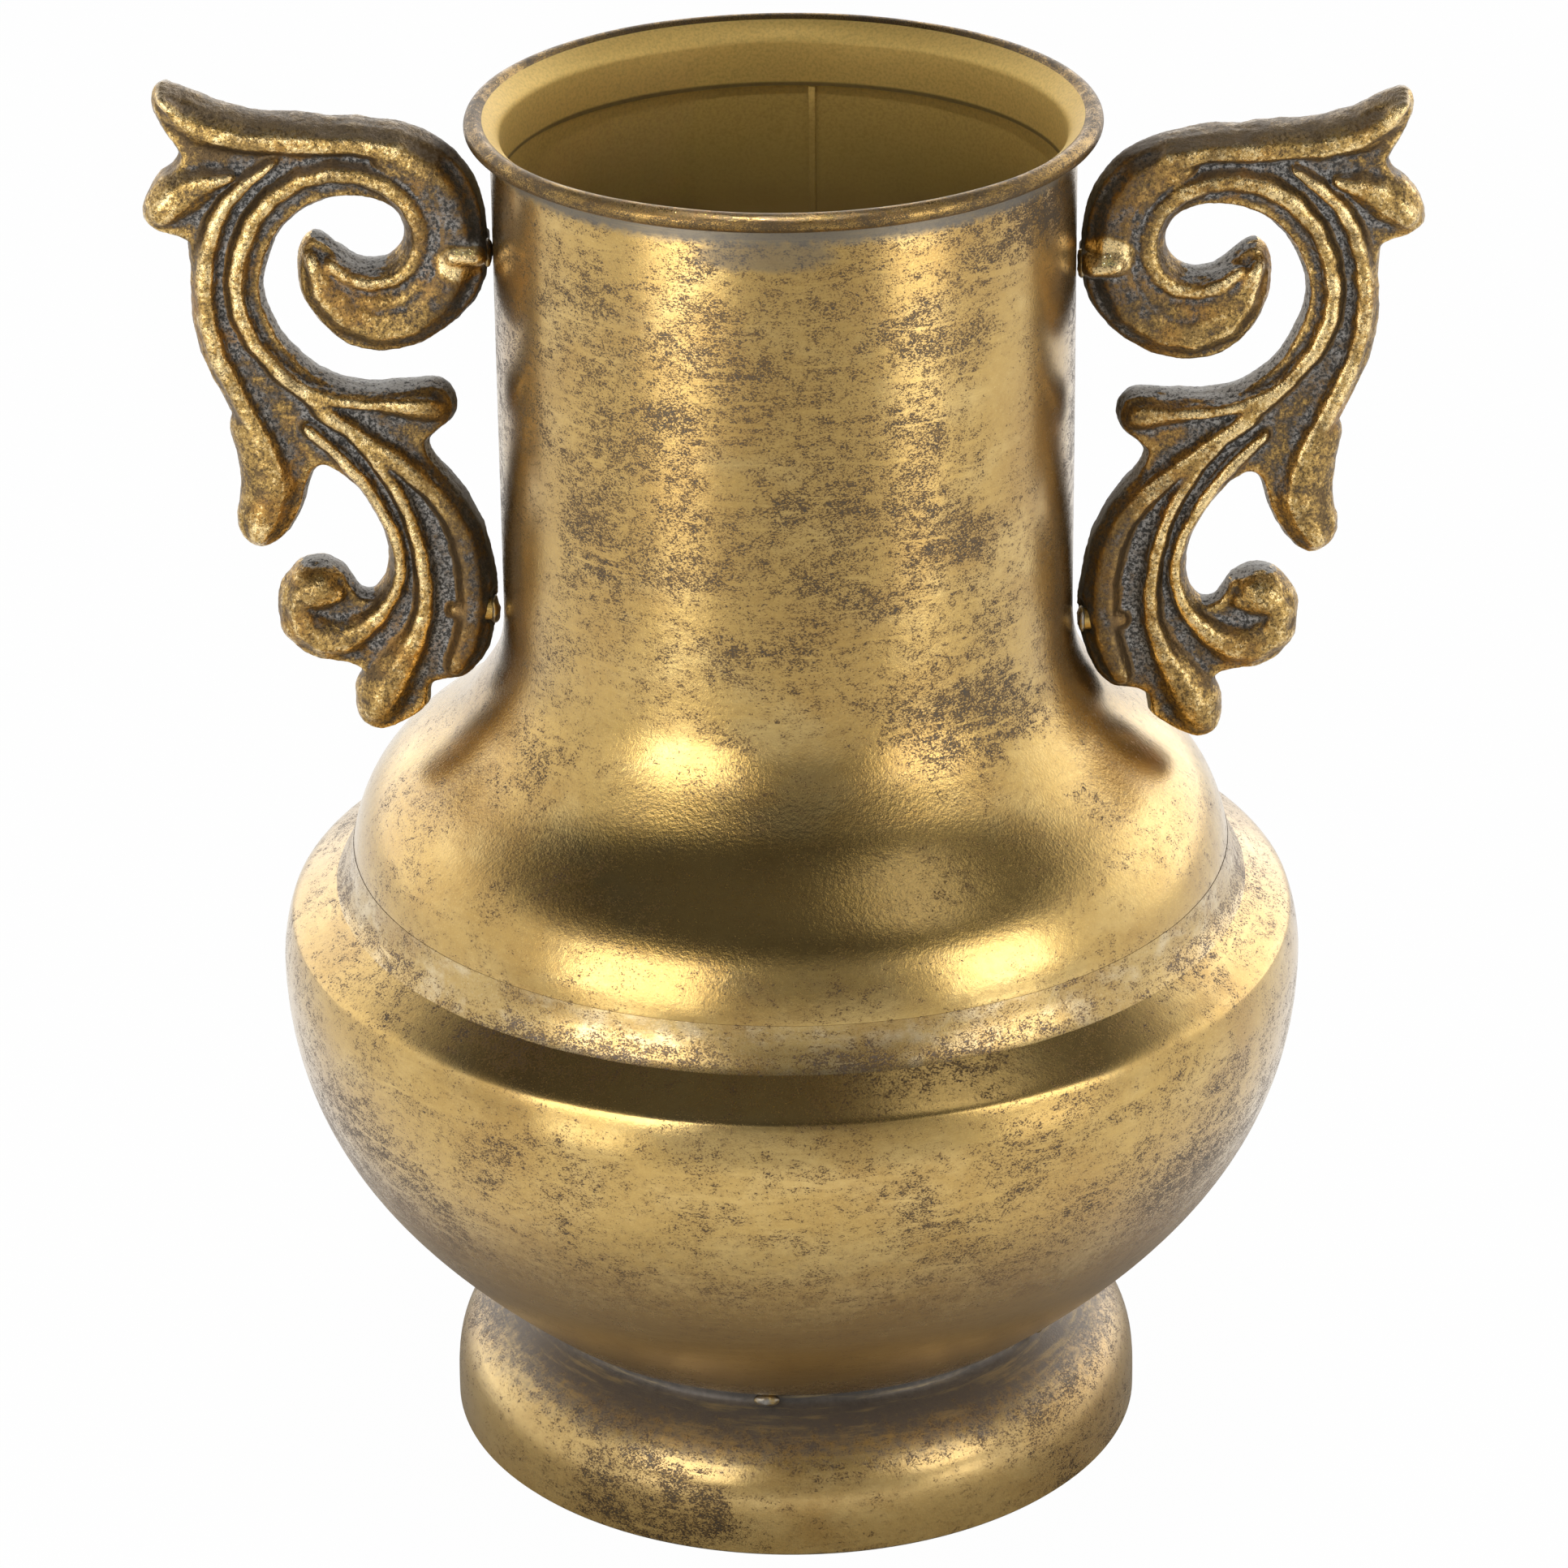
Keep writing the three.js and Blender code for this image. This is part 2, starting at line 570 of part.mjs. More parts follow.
const rollOutside = [];
for (let i = 0; i <= rollSteps; i++) {
  rollOutside.push(onRoll(lipRadius, rollStart + ((rollEnd - rollStart) * i) / rollSteps));
}
const rollHeading = point(0, -1).rotateAround(point(0, 0), THREE.MathUtils.degToRad(rollStart));
const sleeveInside = neckInside - jointGap - lipSheet;
const flareStart = point(sleeveInside, neckTop);
const rimInside = join(
  [point(sleeveInside, sleeveBottom)],
  bend(
    flareStart,
    point(sleeveInside, neckTop + lipFlarePull),
    along(rollOutside[0], rollHeading, -lipFlarePull),
    rollOutside[0],
    3,
  ),
  rollOutside,
);
addPiece('rim_collar', turned(shellOf(rimInside, -lipSheet).reverse()), 'paleGold');

const wireRadius = lipRadius - lipSheet - jointGap;
const wireSection = [];
for (let i = 0; i < wireSides; i++) wireSection.push(onRoll(wireRadius, (360 * i) / wireSides));
addPiece('rim_wire', turned(wireSection), 'castGrey');

// Tack welds in the corner between the foot's neck and the bowl
tackAngles.forEach((angle, i) => {
  const tack = new THREE.SphereGeometry(1, tackSides, tackRings);
  tack.scale(tackHeight / 2, tackLength / 2, tackHeight / 2);
  tack.translate(footNeckRadius + tackStandOff, 0, footHeight - tackDrop);
  tack.rotateZ(THREE.MathUtils.degToRad(angle));
  addPiece(`foot_tack_${i + 1}`, cleaned(tack), 'brazeGrey');
});

export default part;
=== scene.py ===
# Amphora vase: gold-finished sheet metal with two cast scroll handles
import math
import bpy
import numpy as np
from mathutils import Matrix, Vector


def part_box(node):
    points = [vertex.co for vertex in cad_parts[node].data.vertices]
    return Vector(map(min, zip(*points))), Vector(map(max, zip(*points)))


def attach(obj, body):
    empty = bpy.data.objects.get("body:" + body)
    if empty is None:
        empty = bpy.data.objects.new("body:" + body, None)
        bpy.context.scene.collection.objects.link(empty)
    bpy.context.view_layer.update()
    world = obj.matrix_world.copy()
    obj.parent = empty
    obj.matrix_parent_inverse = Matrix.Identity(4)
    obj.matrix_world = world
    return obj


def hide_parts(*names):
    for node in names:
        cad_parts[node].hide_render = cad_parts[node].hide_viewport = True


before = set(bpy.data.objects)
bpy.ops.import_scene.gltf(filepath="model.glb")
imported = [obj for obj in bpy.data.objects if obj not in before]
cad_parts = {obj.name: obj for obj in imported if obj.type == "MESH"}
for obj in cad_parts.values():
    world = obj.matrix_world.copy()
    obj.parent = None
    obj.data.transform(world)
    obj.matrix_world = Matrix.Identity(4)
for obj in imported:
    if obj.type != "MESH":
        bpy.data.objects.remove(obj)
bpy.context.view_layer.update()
mm = 0.001
mergeGap = 0.01 * mm  # points nearer than this are one


# Small tools
def deselectAll():
    if bpy.context.mode != 'OBJECT':
        bpy.ops.object.mode_set(mode='OBJECT')
    bpy.ops.object.select_all(action='DESELECT')


def pick(piece):
    deselectAll()
    piece.select_set(True)
    bpy.context.view_layer.objects.active = piece


def applyModifier(piece, kind, name, **settings):
    pick(piece)
    modifier = piece.modifiers.new(name, kind)
    for key, value in settings.items():
        setattr(modifier, key, value)
    bpy.ops.object.modifier_apply(modifier=name)


# Lumps of a size, and how far they stand out, in millimetres
def roughen(piece, name, size, depth, strength):
    texture = bpy.data.textures.new(name, 'CLOUDS')
    texture.noise_scale = size * mm
    texture.noise_depth = depth
    applyModifier(piece, 'DISPLACE', name, texture=texture, texture_coords='LOCAL', mid_level=0.5,
                  strength=strength * mm)


def subdivideAll(piece, cuts):
    pick(piece)
    bpy.ops.object.mode_set(mode='EDIT')
    bpy.ops.mesh.select_all(action='SELECT')
    bpy.ops.mesh.subdivide(number_cuts=cuts)
    bpy.ops.object.mode_set(mode='OBJECT')


def smoothAll(piece, angle):
    pick(piece)
    bpy.ops.object.shade_smooth_by_angle(angle=math.radians(angle))


def seat(piece, slotName, *nodes):
    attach(piece, "root")
    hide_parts(*nodes)


def dress(piece, *materials):
    piece.data.materials.clear()
    for material in materials:
        piece.data.materials.append(material)


# Profiles are walked in millimetres as (radius, height), with the metal on the left
def bend(start, pull, otherPull, end, steps):
    corners = (start, pull, otherPull, end)
    places = []
    for i in range(steps + 1):
        t = i / steps
        weights = ((1 - t) ** 3, 3 * t * (1 - t) ** 2, 3 * t * t * (1 - t), t ** 3)
        places.append(tuple(sum(weight * corner[axis] for weight, corner in zip(weights, corners))
                            for axis in (0, 1)))
    return places


def along(place, slope, distance):
    length = math.hypot(*slope)
    return (place[0] + slope[0] / length * distance, place[1] + slope[1] / length * distance)


def joinRuns(*runs):
    line = []
    for place in [place for run in runs for place in run]:
        if not line or math.dist(line[-1], place) > 1e-4:
            line.append(place)
    return line


def offsetLine(line, wall):
    moved = []
    for i, place in enumerate(line):
        before, after = line[max(i - 1, 0)], line[min(i + 1, len(line) - 1)]
        arriving = Vector(place) - Vector(before) if i else Vector(after) - Vector(place)
        leaving = Vector(after) - Vector(place) if i < len(line) - 1 else arriving.copy()
        arriving.normalize()
        leaving.normalize()
        side = Vector((-arriving.y - leaving.y, arriving.x + leaving.x)).normalized()
        reach = wall / max(side.dot(Vector((-arriving.y, arriving.x))), 0.5)
        moved.append((place[0] + side.x * reach, place[1] + side.y * reach))
    return moved


def shellOf(outside, wall):
    return outside + offsetLine(outside, wall)[::-1]


# A plane merged into one point is drawn out along the section and spun round the vase's axis
def spinSection(name, section, sides):
    deselectAll()
    bpy.ops.mesh.primitive_plane_add(size=mm)
    piece = bpy.context.object
    piece.name = name
    bpy.ops.object.mode_set(mode='EDIT')
    bpy.ops.mesh.merge(type='CENTER')
    bpy.ops.transform.translate(value=(section[0][0] * mm, 0, section[0][1] * mm))
    ring = section + section[:1]
    for (r0, z0), (r1, z1) in zip(ring, ring[1:]):
        step = ((r1 - r0) * mm, 0, (z1 - z0) * mm)
        bpy.ops.mesh.extrude_region_move(TRANSFORM_OT_translate={"value": step})
    bpy.ops.mesh.select_all(action='SELECT')
    bpy.ops.mesh.remove_doubles(threshold=mergeGap)
    bpy.ops.mesh.spin(steps=sides, angle=math.tau, center=(0, 0, 0), axis=(0, 0, 1))
    bpy.ops.mesh.select_all(action='SELECT')
    bpy.ops.mesh.remove_doubles(threshold=mergeGap)
    bpy.ops.mesh.normals_make_consistent(inside=False)
    bpy.ops.object.mode_set(mode='OBJECT')
    return piece


# Node tools: a socket takes a link from another node, or a plain value
def feed(tree, socket, value):
    if isinstance(value, bpy.types.NodeSocket):
        tree.links.new(value, socket)
    else:
        socket.default_value = value


def addNode(tree, kind, inputs=None, **settings):
    node = tree.nodes.new(kind)
    for key, value in settings.items():
        setattr(node, key, value)
    for key, value in (inputs or {}).items():
        feed(tree, node.inputs[key], value)
    return node


def noise(tree, place, scale, detail=4.0, roughness=0.6, distortion=0.0):
    inputs = {"Vector": place, "Scale": scale, "Detail": detail, "Roughness": roughness,
              "Distortion": distortion}
    return addNode(tree, "ShaderNodeTexNoise", inputs).outputs["Fac"]


def stretch(tree, place, scale, turn=(0.0, 0.0, 0.0)):
    inputs = {"Vector": place, "Scale": scale, "Rotation": turn}
    return addNode(tree, "ShaderNodeMapping", inputs).outputs["Vector"]


def splitAxes(tree, vector):
    return addNode(tree, "ShaderNodeSeparateXYZ", {0: vector}).outputs


def vectorMaths(tree, operation, first, second):
    inputs = {0: first, 1: second}
    return addNode(tree, "ShaderNodeVectorMath", inputs, operation=operation).outputs["Vector"]


def maths(tree, operation, first, second=0.0):
    return addNode(tree, "ShaderNodeMath", {0: first, 1: second}, operation=operation).outputs["Value"]


def plus(tree, first, second):
    return maths(tree, 'ADD', first, second)


def minus(tree, first, second):
    return maths(tree, 'SUBTRACT', first, second)


def times(tree, first, second):
    return maths(tree, 'MULTIPLY', first, second)


# How far two lengths at right angles reach together
def reachOf(tree, first, second):
    return maths(tree, 'SQRT', plus(tree, times(tree, first, first), times(tree, second, second)))


def ramp(tree, value, low, high, start=0.0, end=1.0):
    inputs = {"Value": value, "From Min": low, "From Max": high, "To Min": start, "To Max": end}
    node = addNode(tree, "ShaderNodeMapRange", inputs, interpolation_type='SMOOTHSTEP')
    return node.outputs["Result"]


def blendColours(tree, share, first, second):
    return addNode(tree, "ShaderNodeMix", {0: share, 6: first, 7: second}, data_type='RGBA').outputs[2]


def blendValues(tree, share, first, second):
    return addNode(tree, "ShaderNodeMix", {0: share, 2: first, 3: second}, data_type='FLOAT').outputs[0]


def newGroup(name, inputs, outputs):
    tree = bpy.data.node_groups.new(name, "ShaderNodeTree")
    for socketName, kind, value in inputs:
        socket = tree.interface.new_socket(socketName, in_out='INPUT', socket_type=kind)
        if value is not None:
            socket.default_value = value
    for socketName in outputs:
        tree.interface.new_socket(socketName, in_out='OUTPUT', socket_type="NodeSocketFloat")
    return tree, tree.nodes.new("NodeGroupInput"), tree.nodes.new("NodeGroupOutput")


def useGroup(tree, group, inputs):
    return addNode(tree, "ShaderNodeGroup", inputs, node_tree=group).outputs


# Speckle where the patina wash has caught: finer than a millimetre, merging where it gathers
def makeFlecks():
    tree, given, result = newGroup("patinaFlecks", [
        ("Place", "NodeSocketVector", None),
        ("Density", "NodeSocketFloat", 0.5),
        ("Clusters", "NodeSocketFloat", 70.0),
        ("Size", "NodeSocketFloat", 1500.0),
    ], ["Mask", "Deep", "Stain", "Speck"])
    clusters = given.outputs["Clusters"]
    place = stretch(tree, given.outputs["Place"], (1.0, 1.0, 1.5), (0.0, 0.25, 0.0))
    cluster = minus(tree, noise(tree, place, clusters, 4.0, 0.6, 0.5), 0.5)
    middle = minus(tree, noise(tree, place, times(tree, clusters, 7.0), 3.0, 0.65, 0.4), 0.5)
    fine = noise(tree, place, given.outputs["Size"], 2.5, 0.75, 0.4)
    strokes = stretch(tree, given.outputs["Place"], (75.0, 75.0, 620.0), (0.0, 0.45, 0.0))
    wiped = ramp(tree, noise(tree, strokes, 1.0, 3.0, 0.55, 0.6), 0.56, 0.7, 0.0, 0.14)
    cloud = plus(tree, times(tree, cluster, 0.45), times(tree, middle, 0.5))
    cloud = minus(tree, cloud, wiped)
    cloud = plus(tree, cloud, times(tree, given.outputs["Density"], 0.3))
    level = minus(tree, plus(tree, fine, cloud), 0.74)
    tree.links.new(ramp(tree, level, -0.06, 0.06), result.inputs["Mask"])
    tree.links.new(ramp(tree, level, 0.03, 0.2), result.inputs["Deep"])
    tree.links.new(ramp(tree, cloud, -0.02, 0.3), result.inputs["Stain"])
    tree.links.new(fine, result.inputs["Speck"])
    return tree


# Soft clouds of deeper and paler gold
def makeClouds():
    tree, given, result = newGroup("goldClouds", [
        ("Place", "NodeSocketVector", None),
        ("Scale", "NodeSocketFloat", 30.0),
    ], ["Warm", "Pale", "Fine"])
    place = given.outputs["Place"]
    scale = given.outputs["Scale"]
    warm = noise(tree, place, scale, 6.0, 0.6, 0.4)
    moved = stretch(tree, place, (1.0, 1.0, 1.6), (0.7, 0.2, 1.1))
    pale = noise(tree, moved, times(tree, scale, 1.7), 5.0, 0.6, 0.3)
    fine = noise(tree, place, times(tree, scale, 20.0), 4.0, 0.7)
    tree.links.new(ramp(tree, warm, 0.42, 0.68), result.inputs["Warm"])
    tree.links.new(ramp(tree, pale, 0.45, 0.7), result.inputs["Pale"])
    tree.links.new(fine, result.inputs["Fine"])
    return tree


# Heights in millimetres: slow waves of hand spinning, dents, level tool marks and a satin grain
def makeSpun():
    tree, given, result = newGroup("spunMarks", [
        ("Place", "NodeSocketVector", None),
        ("Waves", "NodeSocketFloat", 0.1),
        ("Dents", "NodeSocketFloat", 0.05),
        ("Marks", "NodeSocketFloat", 0.006),
        ("Grain", "NodeSocketFloat", 0.006),
    ], ["Height"])
    place = given.outputs["Place"]
    waves = noise(tree, stretch(tree, place, (14.0, 14.0, 22.0)), 1.0, 2.0, 0.45)
    dents = noise(tree, place, 110.0, 2.0, 0.5)
    marks = noise(tree, stretch(tree, place, (24.0, 24.0, 1100.0)), 1.0, 4.0, 0.6)
    grain = noise(tree, place, 1300.0, 3.0, 0.65)
    height = times(tree, waves, given.outputs["Waves"])
    height = plus(tree, height, times(tree, dents, given.outputs["Dents"]))
    height = plus(tree, height, times(tree, marks, given.outputs["Marks"]))
    height = plus(tree, height, times(tree, grain, given.outputs["Grain"]))
    tree.links.new(height, result.inputs["Height"])
    return tree


# A ragged-edged patch round one place, all in millimetres
def makePatch():
    tree, given, result = newGroup("raggedPatch", [
        ("Place", "NodeSocketVector", None),
        ("Centre", "NodeSocketVector", (0.0, 0.0, 0.0)),
        ("Radii", "NodeSocketVector", (1.0, 1.0, 1.0)),
        ("Ragged", "NodeSocketFloat", 0.6),
    ], ["Mask"])
    scaled = {0: given.outputs["Place"], 3: 1 / mm}
    place = addNode(tree, "ShaderNodeVectorMath", scaled, operation='SCALE').outputs["Vector"]
    away = vectorMaths(tree, 'SUBTRACT', place, given.outputs["Centre"])
    away = vectorMaths(tree, 'DIVIDE', away, given.outputs["Radii"])
    reach = addNode(tree, "ShaderNodeVectorMath", {0: away}, operation='LENGTH').outputs["Value"]
    edge = minus(tree, noise(tree, place, 0.16, 6.0, 0.68), 0.5)
    reach = plus(tree, reach, times(tree, edge, given.outputs["Ragged"]))
    tree.links.new(ramp(tree, reach, 1.05, 0.55), result.inputs["Mask"])
    return tree


patinaFlecks = makeFlecks()
goldClouds = makeClouds()
spunMarks = makeSpun()
raggedPatch = makePatch()


def newMaterial(name):
    material = bpy.data.materials.new(name)
    material.use_nodes = True
    tree = material.node_tree
    shader = tree.nodes["Principled BSDF"]
    place = tree.nodes.new("ShaderNodeTexCoord").outputs["Object"]
    return material, tree, shader, place


def setSurface(tree, shader, colour, roughness, metallic, height):
    tree.links.new(colour, shader.inputs["Base Color"])
    tree.links.new(roughness, shader.inputs["Roughness"])
    tree.links.new(metallic, shader.inputs["Metallic"])
    bump = addNode(tree, "ShaderNodeBump", {"Strength": 1.0, "Distance": mm, "Height": height})
    tree.links.new(bump.outputs["Normal"], shader.inputs["Normal"])


# A level band round the vase, ragged by the fine noise
def bandAt(tree, height, fine, centre, spread, amount):
    away = maths(tree, 'ABSOLUTE', minus(tree, height, centre * mm))
    away = plus(tree, away, times(tree, minus(tree, fine, 0.5), spread * mm))
    return ramp(tree, away, spread * mm, 0.25 * spread * mm, 0.0, amount)


def patchAt(tree, place, ragged, centre, radii, amount):
    inputs = {"Place": place, "Centre": centre, "Radii": radii, "Ragged": ragged}
    return times(tree, useGroup(tree, raggedPatch, inputs)["Mask"], amount)


# Satin gold over the sheet, with its flecks, bands and patches
def goldSheet(name, look):
    material, tree, shader, place = newMaterial(name)
    clouds = useGroup(tree, goldClouds, {"Place": place, "Scale": look["cloudScale"]})
    warm, pale, fine = clouds["Warm"], clouds["Pale"], clouds["Fine"]
    height = splitAxes(tree, place)["Z"]

    # where the flecks gather
    density = plus(tree, look["flecks"], times(tree, warm, look["warmFlecks"]))
    for band in look["fleckBands"]:
        density = plus(tree, density, bandAt(tree, height, fine, *band))
    for patch in look["fleckPatches"]:
        density = plus(tree, density, patchAt(tree, place, look["fleckEdge"], *patch))
    patina = useGroup(tree, patinaFlecks, {"Place": place, "Density": density,
                                           "Clusters": look["clusters"], "Size": look["fleckSize"]})
    flecks = patina["Mask"]

    # clouded and stained gold, then the flecks over it
    colour = blendColours(tree, times(tree, warm, look["warmShare"]), look["gold"], look["warm"])
    colour = blendColours(tree, times(tree, pale, look["paleShare"]), colour, look["pale"])
    colour = blendColours(tree, ramp(tree, fine, 0.45, 0.75, 0.0, 0.35), colour, look["warm"])
    colour = blendColours(tree, ramp(tree, patina["Speck"], 0.45, 0.3, 0.0, 0.5), colour, look["pale"])
    colour = blendColours(tree, times(tree, patina["Stain"], look["stain"]), colour, look["stainColour"])
    fleckTone = blendColours(tree, patina["Deep"], look["fleckBrown"], look["fleckColour"])
    colour = blendColours(tree, times(tree, flecks, look["fleckStrength"]), colour, fleckTone)
    roughness = blendValues(tree, pale, look["roughness"] + 0.04, look["roughness"] - 0.02)
    roughness = plus(tree, roughness, times(tree, flecks, look["fleckRoughness"]))
    metallic = blendValues(tree, flecks, look["metal"], look["fleckMetal"])
    bare = times(tree, flecks, look["fleckBare"])

    # burnt, worn and painted-shade places, the bands scratched through to pale gold
    streaks = stretch(tree, place, (60.0, 60.0, 1100.0), (0.0, 0.03, 0.0))
    scratches = ramp(tree, noise(tree, streaks, 1.0, 5.0, 0.7), 0.48, 0.7, 0.0, look["scratched"])
    wornAndShaded = []
    for *band, tone, dullness in look["bands"]:
        scratchedTone = blendColours(tree, scratches, tone, look["pale"])
        wornAndShaded.append((bandAt(tree, height, fine, *band), scratchedTone, dullness))
    for *patch, tone, dullness in look["patches"]:
        wornAndShaded.append((patchAt(tree, place, look["patchEdge"], *patch), tone, dullness))
    for share, tone, dullness in wornAndShaded:
        colour = blendColours(tree, share, colour, tone)
        roughness = blendValues(tree, share, roughness, dullness)
        metallic = blendValues(tree, share, metallic, look["dullMetal"])
        bare = maths(tree, 'MAXIMUM', bare, share)

    grain = plus(tree, look["grain"], bandAt(tree, height, fine, *look["sandBand"]))
    relief = useGroup(tree, spunMarks, {"Place": place, "Waves": look["waves"], "Dents": look["dents"],
                                        "Marks": look["marks"], "Grain": grain})["Height"]
    relief = minus(tree, relief, times(tree, flecks, look["fleckDepth"]))
    setSurface(tree, shader, colour, roughness, metallic, relief)
    if look["coat"]:
        tree.links.new(ramp(tree, bare, 0.0, 1.0, look["coat"], 0.0), shader.inputs["Coat Weight"])
        shader.inputs["Coat Roughness"].default_value = look["coatRoughness"]
    return material


# Olive-gold paint inside the vessel, with painted shade that darkens it with depth
def insidePaint(name, look):
    material, tree, shader, place = newMaterial(name)
    grain = noise(tree, place, 1500.0, 3.0, 0.6)
    cloud = noise(tree, place, 25.0, 4.0, 0.55)
    height = splitAxes(tree, place)["Z"]
    # painted shade: the inside darkens downwards from the mouth
    insideShadeFade = ramp(tree, height, look["shadedBelow"] * mm, look["lightAbove"] * mm)
    colour = blendColours(tree, cloud, look["olive"], look["paleOlive"])
    colour = blendColours(tree, ramp(tree, grain, 0.35, 0.75, 0.0, 0.5), colour, look["grain"])
    colour = blendColours(tree, insideShadeFade, look["paintedShadeTone"], colour)
    # painted shadow: a dark line under the sleeve's lower edge
    colour = blendColours(tree, bandAt(tree, height, cloud, *look["sleeveShadowLine"]), colour, look["sleeveShadowTone"])
    roughness = ramp(tree, cloud, 0.3, 0.7, look["roughness"], look["roughness"] + 0.1)
    metallic = ramp(tree, cloud, 0.3, 0.7, look["metallic"], look["metallic"] + 0.1)
    setSurface(tree, shader, colour, roughness, metallic, times(tree, grain, look["grainDepth"]))
    return material


greyWorn = (0.155, 0.14, 0.115, 1)
# tones for the foot's top under the bowl: brazing burn with painted shade
burnAndShadeTone = (0.15, 0.128, 0.108, 1)
# painted shade under the belly, in a burnt-gold tone
bellyShadeGold = (0.25, 0.145, 0.047, 1)
charAndShadeTone = (0.06, 0.054, 0.048, 1)
slate = (0.115, 0.108, 0.095, 1)
# Bands are (height, spread, amount) and patches (centre, radii, amount), in millimetres.
# Those that hide the gold add their tone and its roughness.
bodyLook = dict(
    gold=(0.58, 0.38, 0.108, 1), warm=(0.44, 0.258, 0.06, 1), pale=(0.74, 0.53, 0.20, 1),
    cloudScale=24.0, warmShare=0.8, paleShare=0.6, stain=0.42, stainColour=(0.33, 0.195, 0.058, 1),
    flecks=0.27, warmFlecks=0.12, clusters=55.0, fleckSize=2000.0, fleckStrength=0.95, fleckDepth=0.008,
    fleckColour=(0.075, 0.064, 0.05, 1), fleckBrown=(0.11, 0.062, 0.025, 1), fleckRoughness=0.2,
    fleckMetal=0.75, fleckBare=0.85, fleckEdge=0.9, patchEdge=1.1,
    roughness=0.2, scratched=0.12, metal=1.0, dullMetal=0.55, coat=0.75, coatRoughness=0.25,
    waves=0.12, dents=0.07, marks=0.006, grain=0.03, sandBand=(182, 46, 0.06),
    fleckBands=[(248, 74, 0.42), (133, 9, 0.25), (98, 40, 0.2)],
    fleckPatches=[((40, -48, 187), (30, 26, 12), 0.5), ((-62, -48, 181), (18, 24, 16), 0.4),
                  ((54, -30, 297), (14, 20, 15), 0.5), ((52, -34, 248), (17, 24, 46), -0.45),
                  ((-54, -30, 240), (14, 24, 46), -0.25), ((-82, -55, 84), (38, 40, 28), 0.3),
                  ((84, -52, 80), (36, 40, 28), 0.3)],
    # painted shade: the belly's underside darkened in a burnt-gold tone
    bands=[(56, 40, 0.75, bellyShadeGold, 0.3), (299.2, 3.3, 0.9, greyWorn, 0.4)],
    patches=[((-4, -61, 294.5), (17, 14, 4), 0.6, slate, 0.4)],
)
footLook = dict(
    bodyLook, gold=(0.62, 0.415, 0.13, 1), metal=0.66, flecks=0.3, marks=0.014, scratched=0.28,
    fleckBands=[(24, 9, 0.35)],
    fleckPatches=[((-31, -70, 9), (24, 22, 14), 0.55), ((60, -46, 14), (18, 22, 10), 0.15)],
    # the foot's top under the bowl: burnt by brazing, and darker still as painted shade
    bands=[(29, 11, 0.97, burnAndShadeTone, 0.42), (31.5, 5, 0.85, charAndShadeTone, 0.45)], patches=[],
)
rimLook = dict(
    bodyLook, gold=(0.29, 0.182, 0.06, 1), warm=(0.15, 0.09, 0.03, 1), pale=(0.6, 0.42, 0.16, 1),
    paleShare=0.35, cloudScale=90.0, roughness=0.22, coat=0.0,
    flecks=0.85, fleckSize=3200, fleckStrength=0.92,
    fleckColour=(0.06, 0.042, 0.024, 1), fleckBrown=(0.085, 0.052, 0.02, 1),
    fleckBands=[], fleckPatches=[], bands=[], patches=[],
)
brazeLook = dict(
    bodyLook, gold=(0.58, 0.40, 0.135, 1), pale=(0.76, 0.62, 0.38, 1), paleShare=0.75, cloudScale=60.0,
    metal=0.85, flecks=0.4, fleckColour=(0.16, 0.13, 0.11, 1),
    fleckBands=[(132, 4, 0.25)], fleckPatches=[], bands=[], patches=[],
)
insideLook = dict(
    olive=(0.74, 0.505, 0.135, 1), paleOlive=(0.66, 0.46, 0.138, 1), grain=(0.37, 0.245, 0.065, 1),
    paintedShadeTone=(0.17, 0.108, 0.03, 1), shadedBelow=258, lightAbove=298, roughness=0.45, metallic=0.45,
    grainDepth=0.02, sleeveShadowLine=(290.8, 0.8, 0.8), sleeveShadowTone=(0.08, 0.055, 0.02, 1),
)

bodyGold = goldSheet("bodyGold", bodyLook)
footGold = goldSheet("footGold", footLook)
rimGold = goldSheet("rimGold", rimLook)
vesselInside = insidePaint("vesselInside", insideLook)


